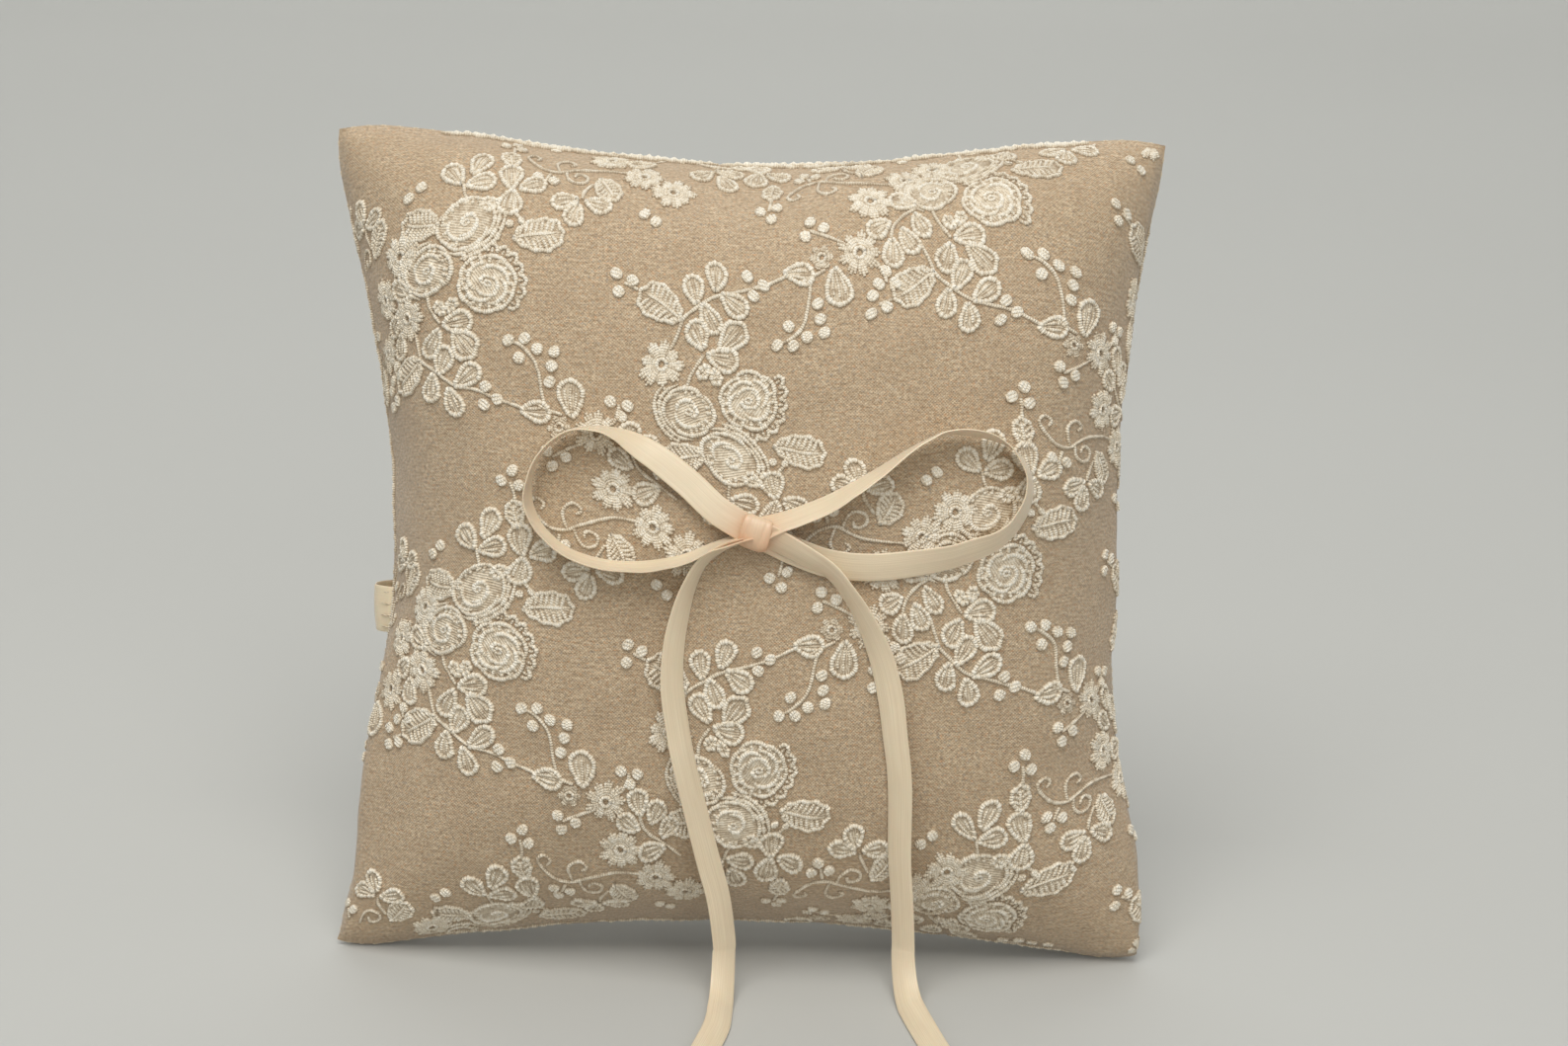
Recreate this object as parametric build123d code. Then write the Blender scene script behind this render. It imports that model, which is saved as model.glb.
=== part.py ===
"""Ring bearer pillow: a small stuffed square cushion covered in embroidered lace, with a satin bow.

Millimetres. The pillow is drawn upright in its own plane first: X across, Z up from the line
through its two bottom corners, and the front face towards -Y. Everything is then leaned back
about that line, so the finished part stands on its bottom corners with +Z up.
"""

from build123d import *

import os
from math import comb, cos, radians, sin

# Pillow
WIDTH = 178.0  # corner to corner, across and up
SIDE_DRAW = 10.0  # how far the middle of each side pulls in between its corners
FRONT_CROWN = 32.0  # height of the front face over the seam plane
BACK_CROWN = 29.0
BACK_FLAT = 2.5  # depth of the flat that the back wears from lying on a table
LEAN = 15.0  # degrees back from upright
FOOT_FLAT = 1.0  # how much of each bottom corner is pressed flat by the table

# Cloth
LACE = 0.35
PANEL = 0.6
PLY_GAP = 0.1  # air between one ply and the next
STUFFING_GAP = 0.2

# Ribbon
RIBBON_WIDTH = 6.0
RIBBON_THICK = 0.4
KNOT_X, KNOT_Z = 2.0, 95.5
KNOT_SIZE = (7.0, 4.4, 8.0)
LEFT_LOOP_HINGE = 16.0  # from the knot's middle to where each loop flexes
RIGHT_LOOP_HINGE = 20.0
TAIL_HINGE_HEIGHT = 22.0  # height over the table where each tail flexes
HINGE_GAP = 0.7  # open length of ribbon left out at each flex line
FLOOR_GAP = 0.35  # from the table to the middle of a ribbon lying on it

# Hand strap across the back
STRAP_WIDTH = 10.0
STRAP_HEIGHT = 75.0
STRAP_SLACK = 3.5  # how far the strap bows out past the side seam
STRAP_STAND_OFF = 7.0  # room for a hand between the strap and the back

# Thread
THREAD_R = 0.3
SEAM_PITCH = 8.0
SEAM_STITCH = 5.0
CLOSING_SPAN = 60.0  # hand-sewn stretch of the bottom seam, where the stuffing goes in
CLOSING_PITCH = 4.0

HALF = WIDTH / 2
DEGREE = 4
LINES = (-1.0, -0.8, 0.0, 0.8, 1.0)  # control lines of a face, as shares of its half width


def bernstein(t):
    return [comb(DEGREE, i) * t**i * (1 - t) ** (DEGREE - i) for i in range(DEGREE + 1)]


EDGE_SHARE = sum(b * (1 - u * u) for b, u in zip(bernstein(0.5), LINES))
PEAK_SHARE = sum(bernstein(0.5)[1:-1]) ** 2


def control_net(crown, inset=0.0):
    """Control points of one pillow face, moved inwards by inset. A negative crown faces -Y."""
    reach = HALF - inset
    height = (crown - inset if crown > 0 else crown + inset) / PEAK_SHARE
    pull = SIDE_DRAW / HALF / EDGE_SHARE
    net = []
    for u in LINES:
        row = []
        for v in LINES:
            x = reach * u * (1 - pull * (1 - v * v))
            z = HALF + reach * v * (1 - pull * (1 - u * u))
            row.append(Vector(x, height if max(abs(u), abs(v)) < 1 else 0, z))
        net.append(row)
    return net


def net_point(net, s, t):
    across, up = bernstein(s), bernstein(t)
    point = Vector(0, 0, 0)
    for a, row in zip(across, net):
        for b, control in zip(up, row):
            point += control * (a * b)
    return point


def half_pillow(crown, inset):
    """The solid between one pillow face and the seam plane."""
    dome = Face.make_bezier_surface(control_net(crown, inset))
    base = Face(Wire(dome.edges()))
    return Solid(Shell([dome, base]))


def slab(low, high):
    """A box between two corners."""
    size = [b - a for a, b in zip(low, high)]
    middle = [(a + b) / 2 for a, b in zip(low, high)]
    return Pos(*middle) * Box(*size)


def back_half(inset):
    """The back's half, with its middle worn flat."""
    flat = BACK_CROWN - BACK_FLAT - inset
    return half_pillow(BACK_CROWN, inset) - slab((-HALF, flat, 0), (HALF, 2 * HALF, WIDTH))


def front_half(inset):
    return half_pillow(-FRONT_CROWN, inset)


def ply(half, inset, thick):
    """One layer of cloth: the shell between two insets."""
    return half(inset) - half(inset + thick)


LACE_INSET = 0.0
PANEL_INSET = LACE + PLY_GAP
STUFFING_INSET = PANEL_INSET + PANEL + STUFFING_GAP
FRONT_NET = control_net(-FRONT_CROWN)


def outline(across):
    """Half the pillow's width at a height, as a share of the way from its middle to its top."""
    return HALF - SIDE_DRAW * (1 - across * across)


def on_front(x, z, lift=0.0):
    """The point over (x, z) that stands lift off the front lace, and the face's normal there."""
    s = t = 0.5
    step = 1 / (2.6 * HALF)
    for _ in range(80):
        here = net_point(FRONT_NET, s, t)
        s += (x - here.X) * step
        t += (z - here.Z) * step
    d = 1e-3
    here = net_point(FRONT_NET, s, t)
    across = net_point(FRONT_NET, s + d, t) - here
    up = net_point(FRONT_NET, s, t + d) - here
    normal = across.cross(up).normalized()
    return here + normal * lift, normal


def leaned(point):
    """A point of the upright pillow, once it leans back and its corners rest on the table."""
    return turned(point) - Vector(0, 0, FOOT_FLAT)


def turned(direction):
    return direction.rotate(Axis.X, -LEAN)


def lean(shape):
    return Pos(0, 0, -FOOT_FLAT) * Rot(-LEAN, 0, 0) * shape


def between(a, b, c, d, t):
    """Catmull-Rom value a share t of the way from b to c."""
    line = b * 2 + (c - a) * t
    curve = (a * 2 - b * 5 + c * 4 - d) * t**2 + (b * 3 - a - c * 3 + d) * t**3
    return (line + curve) * 0.5


def smoothed(stations, steps=3):
    """Stations with more, evenly eased ones between them."""
    last = len(stations) - 1
    result = []
    for k in range(last):
        corners = [stations[min(max(j, 0), last)] for j in range(k - 1, k + 3)]
        for step in range(steps):
            result.append(tuple(between(*values, step / steps) for values in zip(*corners)))
    return [*result, stations[-1]]


def ribbon(stations, width=RIBBON_WIDTH):
    """A ribbon through stations of (point, face normal, twist in degrees)."""
    stations = smoothed(stations)
    last = len(stations) - 1
    sections = []
    for k, (point, normal, twist) in enumerate(stations):
        along = (stations[min(k + 1, last)][0] - stations[max(k - 1, 0)][0]).normalized()
        flat = normal.cross(along).normalized()
        across = flat.rotate(Axis((0, 0, 0), along), twist)
        section = Plane(origin=point, x_dir=across, z_dir=along) * Rectangle(width, RIBBON_THICK)
        sections.append(section)
    return loft(sections)


def loop_stations(course):
    """Stations of a bow loop, from (x, z) offsets from the knot, lift off the lace and twist."""
    stations = []
    for x, z, lift, twist in course:
        point, normal = on_front(KNOT_X + x, KNOT_Z + z, lift)
        stations.append((point, normal, twist))
    return stations


def split_loop(course, hinge, side):
    """A loop cut at its flex line into the short base at the knot and the moving rest."""
    band = ribbon(loop_stations(course))
    line = KNOT_X + side * hinge
    gap = slab((line - HINGE_GAP / 2, -HALF, 0), (line + HINGE_GAP / 2, 0, WIDTH))
    pieces = (band - gap).solids()
    base = [p for p in pieces if abs(p.center().X - KNOT_X) < hinge]
    rest = [p for p in pieces if abs(p.center().X - KNOT_X) > hinge]
    return lean(Compound(base)), lean(Compound(rest))


LEFT_LOOP = (
    (-2.6, 1.2, 2.6, 8),
    (-8.7, 5.2, 2.4, 8),
    (-15.4, 11.1, 2.4, 10),
    (-23.2, 17.0, 2.9, 20),
    (-30.4, 20.5, 3.6, 42),
    (-36.7, 21.2, 4.0, 58),
    (-42.5, 18.1, 4.0, 62),
    (-45.9, 12.4, 4.0, 62),
    (-46.3, 5.8, 4.0, 64),
    (-44.0, 0, 4.0, 70),
    (-38.6, -4.4, 4.0, 78),
    (-30.9, -6.6, 4.0, 82),
    (-23.2, -6.8, 4.0, 82),
    (-15.4, -5.6, 4.0, 80),
    (-8.7, -3.1, 3.9, 74),
    (-2.6, -0.6, 3.6, 62),
)
RIGHT_LOOP = (
    (2.6, 1.4, 2.6, -8),
    (8.7, 3.5, 2.4, -10),
    (16.4, 6.6, 2.6, -16),
    (24.1, 11.6, 3.3, -40),
    (32.8, 17.7, 4.0, -64),
    (39.6, 20.7, 4.1, -74),
    (46.3, 20.3, 4.1, -74),
    (52.1, 16.8, 4.1, -68),
    (55.2, 10.8, 4.0, -62),
    (53.8, 4.4, 3.9, -52),
    (48.7, -1, 3.7, -40),
    (41.5, -3.9, 3.2, -28),
    (32.8, -5.8, 2.6, -18),
    (24.1, -6.8, 2.1, -12),
    (15.4, -6.2, 1.7, -10),
    (8.7, -3.9, 1.7, -8),
    (2.6, -1.4, 1.9, -4),
)


def tail_stations(root, drape, hang_x, run):
    """Stations of a tail: over the front, straight down off its belly, then out along the table."""
    stations = []
    for x, z, lift in (*root, *drape):
        point, normal = on_front(x, z, lift)
        stations.append((leaned(point), turned(normal), 0))
    forward = Vector(0, -1, 0)
    belly = stations[-1][0].Y - 0.6
    for x, height in hang_x:
        stations.append((Vector(x, belly, height), forward, 0))
    x_down = hang_x[-1][0]
    bend = hang_x[-1][1] - FLOOR_GAP
    for k in range(1, 7):
        turn = radians(90 * k / 6)
        point = Vector(x_down, belly - bend * (1 - cos(turn)), FLOOR_GAP + bend * (1 - sin(turn)))
        stations.append((point, Vector(0, -cos(turn), sin(turn)), 0))
    for x, y in run:
        stations.append((Vector(x, y, FLOOR_GAP), Vector(0, 0, 1), 0))
    return stations


def split_tail(stations):
    """A tail cut at its flex line into the part that hangs and the part on the table."""
    band = ribbon(stations)
    low, high = TAIL_HINGE_HEIGHT - HINGE_GAP / 2, TAIL_HINGE_HEIGHT + HINGE_GAP / 2
    gap = slab((-HALF, -HALF, low), (HALF, HALF, high))
    pieces = sorted((band - gap).solids(), key=lambda p: p.center().Z)
    return pieces[-1], pieces[0]


LEFT_TAIL = tail_stations(
    root=((-1.8, 89.3, 1.5), (-5.8, 85.7, 1.2)),
    drape=((-10.2, 80.1, 1.1), (-13.2, 73, 1.1), (-14.2, 64, 1.1), (-13.2, 54, 1.1), (-11.4, 44, 1.1)),
    hang_x=((-7.2, 32), (-4.2, TAIL_HINGE_HEIGHT), (-2.8, 12)),
    run=((-4.0, -36), (-6.4, -46), (-9.4, -57), (-13.0, -70), (-17, -84)),
)
RIGHT_TAIL = tail_stations(
    root=((7.6, 92.5, 3.4), (12.6, 89.7, 3.6)),
    drape=((18.6, 84.4, 2.8), (23.8, 77.4, 1.7), (27.4, 69, 1.2), (30, 60, 1.1), (31.8, 50, 1.1), (32.8, 41, 1.1)),
    hang_x=((33.8, 32), (34.5, TAIL_HINGE_HEIGHT), (35.2, 12)),
    run=((38.0, -36), (40.4, -46), (43.4, -56), (47, -68), (51, -80)),
)


def bow_knot():
    """The wrapped middle of the bow, a soft-cornered pad."""
    width, depth, height = KNOT_SIZE
    pad = Box(width, depth, height)
    pad = fillet(pad.edges(), 1.6)
    middle, _ = on_front(KNOT_X, KNOT_Z, depth / 2 + 0.3)
    return lean(Pos(middle) * pad)


def stitch(start, end):
    """One straight stitch of thread between two points."""
    along = end - start
    return Plane(origin=(start + end) / 2, z_dir=along) * Cylinder(THREAD_R, along.length)


def bow_tack():
    """Four stitches that fix the knot through the lace and the front panel."""
    stitches = []
    for x in (-1.8, 1.8):
        for z in (-2.2, 2.2):
            outer, normal = on_front(KNOT_X + x, KNOT_Z + z, 2.2)
            stitches.append(stitch(outer, outer - normal * 5.2))
    return lean(Compound(stitches))


def side_point(side, across, inset):
    """A point on one of the four seams. Across runs from -1 to 1 along the seam."""
    reach = outline(across) - inset
    along = (HALF - inset) * across
    spots = {
        "left": Vector(-reach, 0, HALF + along),
        "right": Vector(reach, 0, HALF + along),
        "bottom": Vector(along, 0, HALF - reach),
        "top": Vector(along, 0, HALF + reach),
    }
    return spots[side]


def seam_stitches():
    """Machine stitches round the pillow, left out where the turning gap is sewn by hand."""
    inset = 0.7
    count = int((WIDTH - 2 * SEAM_PITCH) / SEAM_PITCH)
    stitches = []
    for side in ("left", "right", "bottom", "top"):
        for k in range(count):
            middle = -1 + 2 * (k + 1) / (count + 1)
            if side == "bottom" and abs(middle) * HALF < CLOSING_SPAN / 2:
                continue
            reach = SEAM_STITCH / 2 / HALF
            start = side_point(side, middle - reach, inset)
            stitches.append(stitch(start, side_point(side, middle + reach, inset)))
    return lean(Compound(stitches))


def closing_stitches():
    """Ladder stitches that close the turning gap in the bottom seam."""
    count = int(CLOSING_SPAN / CLOSING_PITCH)
    span = 0.9
    stitches = []
    for k in range(count):
        across = (k - (count - 1) / 2) * CLOSING_PITCH / HALF
        middle = side_point("bottom", across, 0.6)
        stitches.append(stitch(middle - Vector(0, span, 0), middle + Vector(0, span, 0)))
    return lean(Compound(stitches))


def strap_course():
    """The hand strap's path behind the pillow, seen from above, from seam to seam."""
    across = STRAP_HEIGHT / HALF - 1
    seam = outline(across) + RIBBON_THICK
    deep = BACK_CROWN - BACK_FLAT + STRAP_STAND_OFF
    return (
        (-seam, 0.0),
        (-seam - STRAP_SLACK, 5.0),
        (-seam + 2, 14.0),
        (-seam + 22, 26.5),
        (-30, deep),
        (0, deep + 1),
        (30, deep),
        (seam - 20, 26.5),
        (seam - 2.4, 12.5),
        (seam + 0.2, 5.0),
        (seam, 0.0),
    )


def hand_strap():
    """A satin band across the back, sewn into both side seams, with room for a hand."""
    points = [Vector(x, y, STRAP_HEIGHT) for x, y in strap_course()]
    last = len(points) - 1
    stations = []
    for k, point in enumerate(points):
        along = points[min(k + 1, last)] - points[max(k - 1, 0)]
        stations.append((point, Vector(0, 0, 1).cross(along).normalized(), 0))
    return lean(ribbon(stations, STRAP_WIDTH))


def strap_stitches():
    """Bar tacks that hold each strap end in its seam."""
    across = STRAP_HEIGHT / HALF - 1
    seam = outline(across)
    stitches = []
    for side in (-1, 1):
        for k in range(4):
            z = STRAP_HEIGHT + (k - 1.5) * 2.4
            start = Vector(side * (seam + RIBBON_THICK + 0.4), 0.6, z)
            stitches.append(stitch(start, Vector(side * (seam - 1.6), 0.6, z)))
    return lean(Compound(stitches))


def pressed(shape):
    """A ply with its bottom corners pressed flat where they stand on the table."""
    return lean(shape) - slab((-2 * HALF, -HALF, -HALF), (2 * HALF, HALF, 0))


def stuffing():
    inset = STUFFING_INSET
    return lean(front_half(inset) + back_half(inset))


def all_parts():
    left_base, left_loop = split_loop(LEFT_LOOP, LEFT_LOOP_HINGE, -1)
    right_base, right_loop = split_loop(RIGHT_LOOP, RIGHT_LOOP_HINGE, 1)
    left_upper, left_lower = split_tail(LEFT_TAIL)
    right_upper, right_lower = split_tail(RIGHT_TAIL)
    return {
        "fibre_filling": stuffing(),
        "front_panel": pressed(ply(front_half, PANEL_INSET, PANEL)),
        "back_panel": pressed(ply(back_half, PANEL_INSET, PANEL)),
        "front_lace": pressed(ply(front_half, LACE_INSET, LACE)),
        "back_lace": pressed(ply(back_half, LACE_INSET, LACE)),
        "seam_stitches": seam_stitches(),
        "closing_stitches": closing_stitches(),
        "hand_strap": hand_strap(),
        "strap_stitches": strap_stitches(),
        "bow_knot": bow_knot(),
        "bow_tack_thread": bow_tack(),
        "left_loop_base": left_base,
        "right_loop_base": right_base,
        "left_loop": left_loop,
        "right_loop": right_loop,
        "left_tail_upper": left_upper,
        "right_tail_upper": right_upper,
        "left_tail_lower": left_lower,
        "right_tail_lower": right_lower,
    }


os.makedirs("parts", exist_ok=True)
for name, shape in all_parts().items():
    export_step(shape, f"parts/{name}.step")
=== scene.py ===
"""Looks of the ring bearer pillow: linen, embroidered lace, satin bow and strap, on a plain studio floor.

Shapes are worked out in millimetres in the pillow's own upright frame (x across, y towards the
back, z up) and then leaned back into the row frame in metres.
"""

import math

import bpy
import numpy as np
from mathutils import Matrix, Vector

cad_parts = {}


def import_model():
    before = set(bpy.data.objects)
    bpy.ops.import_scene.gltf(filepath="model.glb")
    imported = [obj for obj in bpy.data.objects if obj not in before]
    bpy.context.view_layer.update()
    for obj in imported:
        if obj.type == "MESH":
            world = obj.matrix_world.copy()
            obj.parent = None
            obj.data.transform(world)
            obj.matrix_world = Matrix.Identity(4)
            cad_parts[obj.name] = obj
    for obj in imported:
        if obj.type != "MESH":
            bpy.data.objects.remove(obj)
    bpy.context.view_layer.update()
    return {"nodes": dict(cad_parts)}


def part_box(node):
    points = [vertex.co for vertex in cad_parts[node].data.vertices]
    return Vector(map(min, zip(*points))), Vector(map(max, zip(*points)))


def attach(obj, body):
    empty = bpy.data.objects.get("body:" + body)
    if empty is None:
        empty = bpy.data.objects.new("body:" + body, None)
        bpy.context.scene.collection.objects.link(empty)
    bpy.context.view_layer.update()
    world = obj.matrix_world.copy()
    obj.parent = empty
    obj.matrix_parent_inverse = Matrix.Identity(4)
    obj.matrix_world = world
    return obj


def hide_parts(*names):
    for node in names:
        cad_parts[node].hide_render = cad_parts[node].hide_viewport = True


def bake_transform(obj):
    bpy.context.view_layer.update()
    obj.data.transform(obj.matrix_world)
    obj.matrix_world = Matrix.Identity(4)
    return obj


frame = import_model()

MM = 0.001
LEAN = math.radians(15)
FOOT_FLAT = 1.0
SHARP_ANGLE = math.radians(50)

rng = np.random.default_rng(7)


def world(points):
    """Upright millimetres to row-frame metres."""
    p = np.asarray(points, float)
    c, s = math.cos(LEAN), math.sin(LEAN)
    x, y, z = p[..., 0], p[..., 1], p[..., 2]
    return np.stack([x, y * c + z * s, z * c - y * s - FOOT_FLAT], -1) * MM


def upright(point):
    """Row-frame metres to upright millimetres."""
    x, y, z = np.asarray(point, float) / MM
    c, s = math.cos(LEAN), math.sin(LEAN)
    z = z + FOOT_FLAT
    return np.array([x, y * c - z * s, y * s + z * c])


def box_middle(node):
    low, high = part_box(node)
    return (low + high) / 2


def unit(v):
    """Vectors of length one."""
    return v / np.maximum(np.linalg.norm(v, axis=-1, keepdims=True), 1e-9)


lace_low, lace_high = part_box("front_lace")
HALF = (lace_high.x - lace_low.x) / 2 / MM
# Each seam: how far it is drawn in, and the powers by which that fades towards its two ends.
SEAM_DRAW = {
    "left": (13.9, 0.8, 1.4),
    "right": (11.0, 0.95, 1.0),
    "bottom": (8.3, 1.15, 1.15),
    "top": (7.4, 2.2, 2.2),
}
# Where the front swells over its side seams: the side, the place along it, the spread and the size.
SWELLS = ((-1, -50.0, 27.0, 4.6), (1, -70.0, 22.0, 3.6), (1, 5.0, 40.0, 2.2))
# How far the bottom and the top corners are rounded, as shares of their distance from the middle.
FOOT_BLUNT, HEAD_BLUNT = 0.027, 0.015
# Heights over the plane of the seams: the two crowns, and the flat that the back rests on.
FRONT_CROWN = 31.5
BACK_CROWN = 28.4
BACK_REST = 26.0
# Half the side of each square of cloth.
CLOTH_HALF = 92.0
# Points along the sides of the simulated cloth and of the finer sheets.
COARSE, FINE = 65, 185
KNOT = upright(box_middle("bow_knot"))


# ---- the stuffed shape


def flat_grid(n):
    """The flat places (s, t) of a square grid over the whole cloth."""
    line = np.linspace(-1, 1, n) * CLOTH_HALF
    return np.meshgrid(line, line, indexing="ij")


def margin(s, t):
    """How far a flat place lies in from the edge of the cloth."""
    return CLOTH_HALF - np.maximum(np.abs(s), np.abs(t))


def grid_faces(ids, flip=False):
    """Quads over a grid of vertex numbers."""
    quads = np.stack([ids[:-1, :-1], ids[1:, :-1], ids[1:, 1:], ids[:-1, 1:]], -1).reshape(-1, 4)
    return (quads[:, ::-1] if flip else quads).tolist()


def joined_sheets(n):
    """Vertex numbers and faces of a front and a back grid that share their rim."""
    front = np.arange(n * n).reshape(n, n)
    back = front.copy()
    back[1:-1, 1:-1] = n * n + np.arange((n - 2) ** 2).reshape(n - 2, n - 2)
    return front, back, grid_faces(front) + grid_faces(back, flip=True)


def sewn_panels(n):
    """Two flat squares of cloth sewn together round their edges, a little puffed."""
    s, t = flat_grid(n)
    puff = 6 * (1 - (s / CLOTH_HALF) ** 2) * (1 - (t / CLOTH_HALF) ** 2)
    noise = ripples(s, t, 12, 34, 0.5)
    depth = np.where(margin(s, t) > 0, noise - puff, 0)
    front = np.stack([s, depth, t], -1)
    back = np.stack([s, noise + puff, t], -1)[1:-1, 1:-1]
    return np.concatenate([front.reshape(-1, 3), back.reshape(-1, 3)])


def ripples(a, b, shortest, longest, size, count=10):
    """A smooth, seeded, wandering height over the plane, of about the given size."""
    total = np.zeros(np.shape(a))
    for _ in range(count):
        length = rng.uniform(shortest, longest)
        turn, phase = rng.uniform(0, math.tau, 2)
        wave = (a * math.cos(turn) + b * math.sin(turn)) * math.tau / length
        total = total + np.sin(wave + phase)
    return total * size / math.sqrt(count / 2)


def blown(n, steps=9, scale=0.01):
    """The front and the back of the sewn cloth, after a short cloth simulation with pressure inside."""
    front, back, faces = joined_sheets(n)
    points = sewn_panels(n)
    mesh = bpy.data.meshes.new("blown")
    mesh.from_pydata([tuple(p * scale) for p in points], [], faces)
    cloth = bpy.data.objects.new("blown", mesh)
    scene = bpy.context.scene
    scene.collection.objects.link(cloth)
    modifier = cloth.modifiers.new("Cloth", "CLOTH")
    s = modifier.settings
    s.quality = 6
    s.mass = 0.3
    s.tension_stiffness = s.compression_stiffness = 40
    s.shear_stiffness = 24
    s.bending_stiffness = 2.5
    s.tension_damping = s.compression_damping = s.shear_damping = 5
    s.bending_damping = 0.5
    s.air_damping = 4
    s.use_pressure = s.use_pressure_volume = True
    s.target_volume = 0.8
    s.uniform_pressure_force = 3
    s.effector_weights.gravity = 0
    modifier.collision_settings.use_collision = False
    modifier.point_cache.frame_start = 1
    modifier.point_cache.frame_end = steps
    scene.frame_start, scene.frame_end = 1, steps
    for step in range(1, steps + 1):
        scene.frame_set(step)
    shaped = cloth.evaluated_get(bpy.context.evaluated_depsgraph_get())
    out = np.zeros(len(points) * 3)
    shaped.data.vertices.foreach_get("co", out)
    bpy.data.objects.remove(cloth)
    bpy.data.meshes.remove(mesh)
    scene.frame_set(1)
    out = out.reshape(-1, 3) / scale
    return out[front], out[back]


def outline(side, across):
    """Distance from the pillow's middle to one of its seams, at a share of the way along it."""
    draw, low, high = SEAM_DRAW[side]
    power = np.where(np.asarray(across) < 0, low, high)
    return HALF - draw * np.clip(1 - across * across, 0, 1) ** power


def bluntness(across, up):
    """How far a place near a corner is drawn towards the middle, as a share of its distance."""
    near = [np.clip((np.abs(k) - 0.87) / 0.13, 0, 1) ** 1.5 for k in (across, up)]
    return near[0] * near[1] * np.where(np.asarray(up) < 0, FOOT_BLUNT, HEAD_BLUNT)


def fitted_outline(sheet):
    """Shifts a sheet across and up, so that its rim follows the pillow's four seams."""
    line = np.linspace(-1, 1, len(sheet))
    run, flat = HALF * line, sheet[..., ::2]
    low = np.stack([-outline("left", line), run], -1) - flat[0]
    high = np.stack([outline("right", line), run], -1) - flat[-1]
    foot = np.stack([run, -outline("bottom", line)], -1) - flat[:, 0]
    head = np.stack([run, outline("top", line)], -1) - flat[:, -1]
    a = ((line + 1) / 2)[:, None, None]
    b = ((line + 1) / 2)[None, :, None]
    move = (1 - a) * low + a * high + (1 - b) * foot[:, None] + b * head[:, None]
    move -= (1 - a) * ((1 - b) * low[0] + b * low[-1]) + a * ((1 - b) * high[0] + b * high[-1])
    out = sheet.copy()
    out[..., ::2] += move
    for _ in range(14):
        beside = out[2:, 1:-1] + out[:-2, 1:-1] + out[1:-1, 2:] + out[1:-1, :-2]
        out[1:-1, 1:-1, ::2] = (out[1:-1, 1:-1] / 2 + beside / 8)[..., ::2]
    out[..., ::2] *= 1 - bluntness(line[:, None], line[None])[..., None]
    return out


def swollen(sheet):
    """Lets the front swell over its side seams, most of all low down."""
    s, t = flat_grid(len(sheet))
    out = sheet.copy()
    for sign, place, spread, size in SWELLS:
        gap = (CLOTH_HALF - sign * s) / 5.0
        out[..., 0] += sign * size * gap * np.exp(1 - gap) * np.exp(-(((t - place) / spread) ** 2))
    return out


def dome_share(u):
    """The height of a crowned cushion over its middle line, as a share of its crown."""
    a = np.linspace(0, 1, 201)
    b = 1 - a
    place = -(b**4) - 3.2 * a * b**3 + 3.2 * a**3 * b + a**4
    height = (1 - a**4 - b**4) / 0.875
    return np.interp(np.clip(u, -1, 1), place, height)


def crowned(sheet, crown, rest=None, most_cloth=0.45):
    """Blends the blown height with a crowned cushion's, and flattens the part that lies on a table."""
    x, z = sheet[..., 0], sheet[..., 2]
    across, up = np.clip(x / HALF, -1, 1), np.clip(z / HALF, -1, 1)
    u = x / np.where(x < 0, outline("left", up), outline("right", up))
    v = z / np.where(z < 0, outline("bottom", across), outline("top", across))
    middle = len(sheet) // 2
    blown_height = np.abs(sheet[..., 1])
    blown_height *= crown / blown_height[middle, middle]
    dome = (dome_share(u) * dome_share(v)) ** (1 - 0.3 * (u * v) ** 2)
    from_cloth = most_cloth * np.clip(1.15 - np.maximum(np.abs(u), np.abs(v)) ** 4, 0, 1)
    height = from_cloth * blown_height + (1 - from_cloth) * crown * dome
    if rest is not None:
        soft = 1.5
        height = -soft * np.logaddexp(-height / soft, -(rest + 0.9) / soft)
        height = np.maximum(height, 0)
    out = sheet.copy()
    out[..., 1] = 0
    out[1:-1, 1:-1, 1] = (-1 if rest is None else 1) * height[1:-1, 1:-1]
    return out


class Sheet:
    """A sheet of cloth that can be read at any place, in flat cloth millimetres."""

    def __init__(self, grid, side):
        self.grid = grid
        self.side = side
        self.n = len(grid)

    def at(self, s, t):
        spans = []
        for flat in (s, t):
            place = (np.clip(flat / CLOTH_HALF, -1, 1) + 1) * (self.n - 1) / 2
            cell = np.clip(np.floor(place).astype(int), 0, self.n - 2)
            ids = [np.clip(cell + k, 0, self.n - 1) for k in (-1, 0, 1, 2)]
            spans.append(list(zip(ids, ease(place - cell))))
        rows, columns = spans
        return sum((wa * wb)[..., None] * self.grid[i, j] for i, wa in rows for j, wb in columns)

    def normal(self, s, t):
        d = 0.5
        s = np.clip(s, -CLOTH_HALF + d, CLOTH_HALF - d)
        t = np.clip(t, -CLOTH_HALF + d, CLOTH_HALF - d)
        across = self.at(s + d, t) - self.at(s - d, t)
        up = self.at(s, t + d) - self.at(s, t - d)
        return unit(np.cross(across, up)) * (1 if self.side == "front" else -1)

    def raised(self, s, t, height):
        s, t = np.asarray(s, float), np.asarray(t, float)
        return self.at(s, t) + self.normal(s, t) * np.asarray(height, float)[..., None]

    def find(self, x, z):
        """The flat place that lies over (x, z)."""
        s, t = float(x), float(z - HALF)
        for _ in range(60):
            here = self.at(np.array(s), np.array(t))
            s += 0.8 * (x - here[0])
            t += 0.8 * (z - here[2])
        return s, t


def ease(f):
    """Catmull-Rom weights."""
    return (
        0.5 * (-f + 2 * f**2 - f**3),
        0.5 * (2 - 5 * f**2 + 3 * f**3),
        0.5 * (f + 4 * f**2 - 3 * f**3),
        0.5 * (-(f**2) + f**3),
    )


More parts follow.
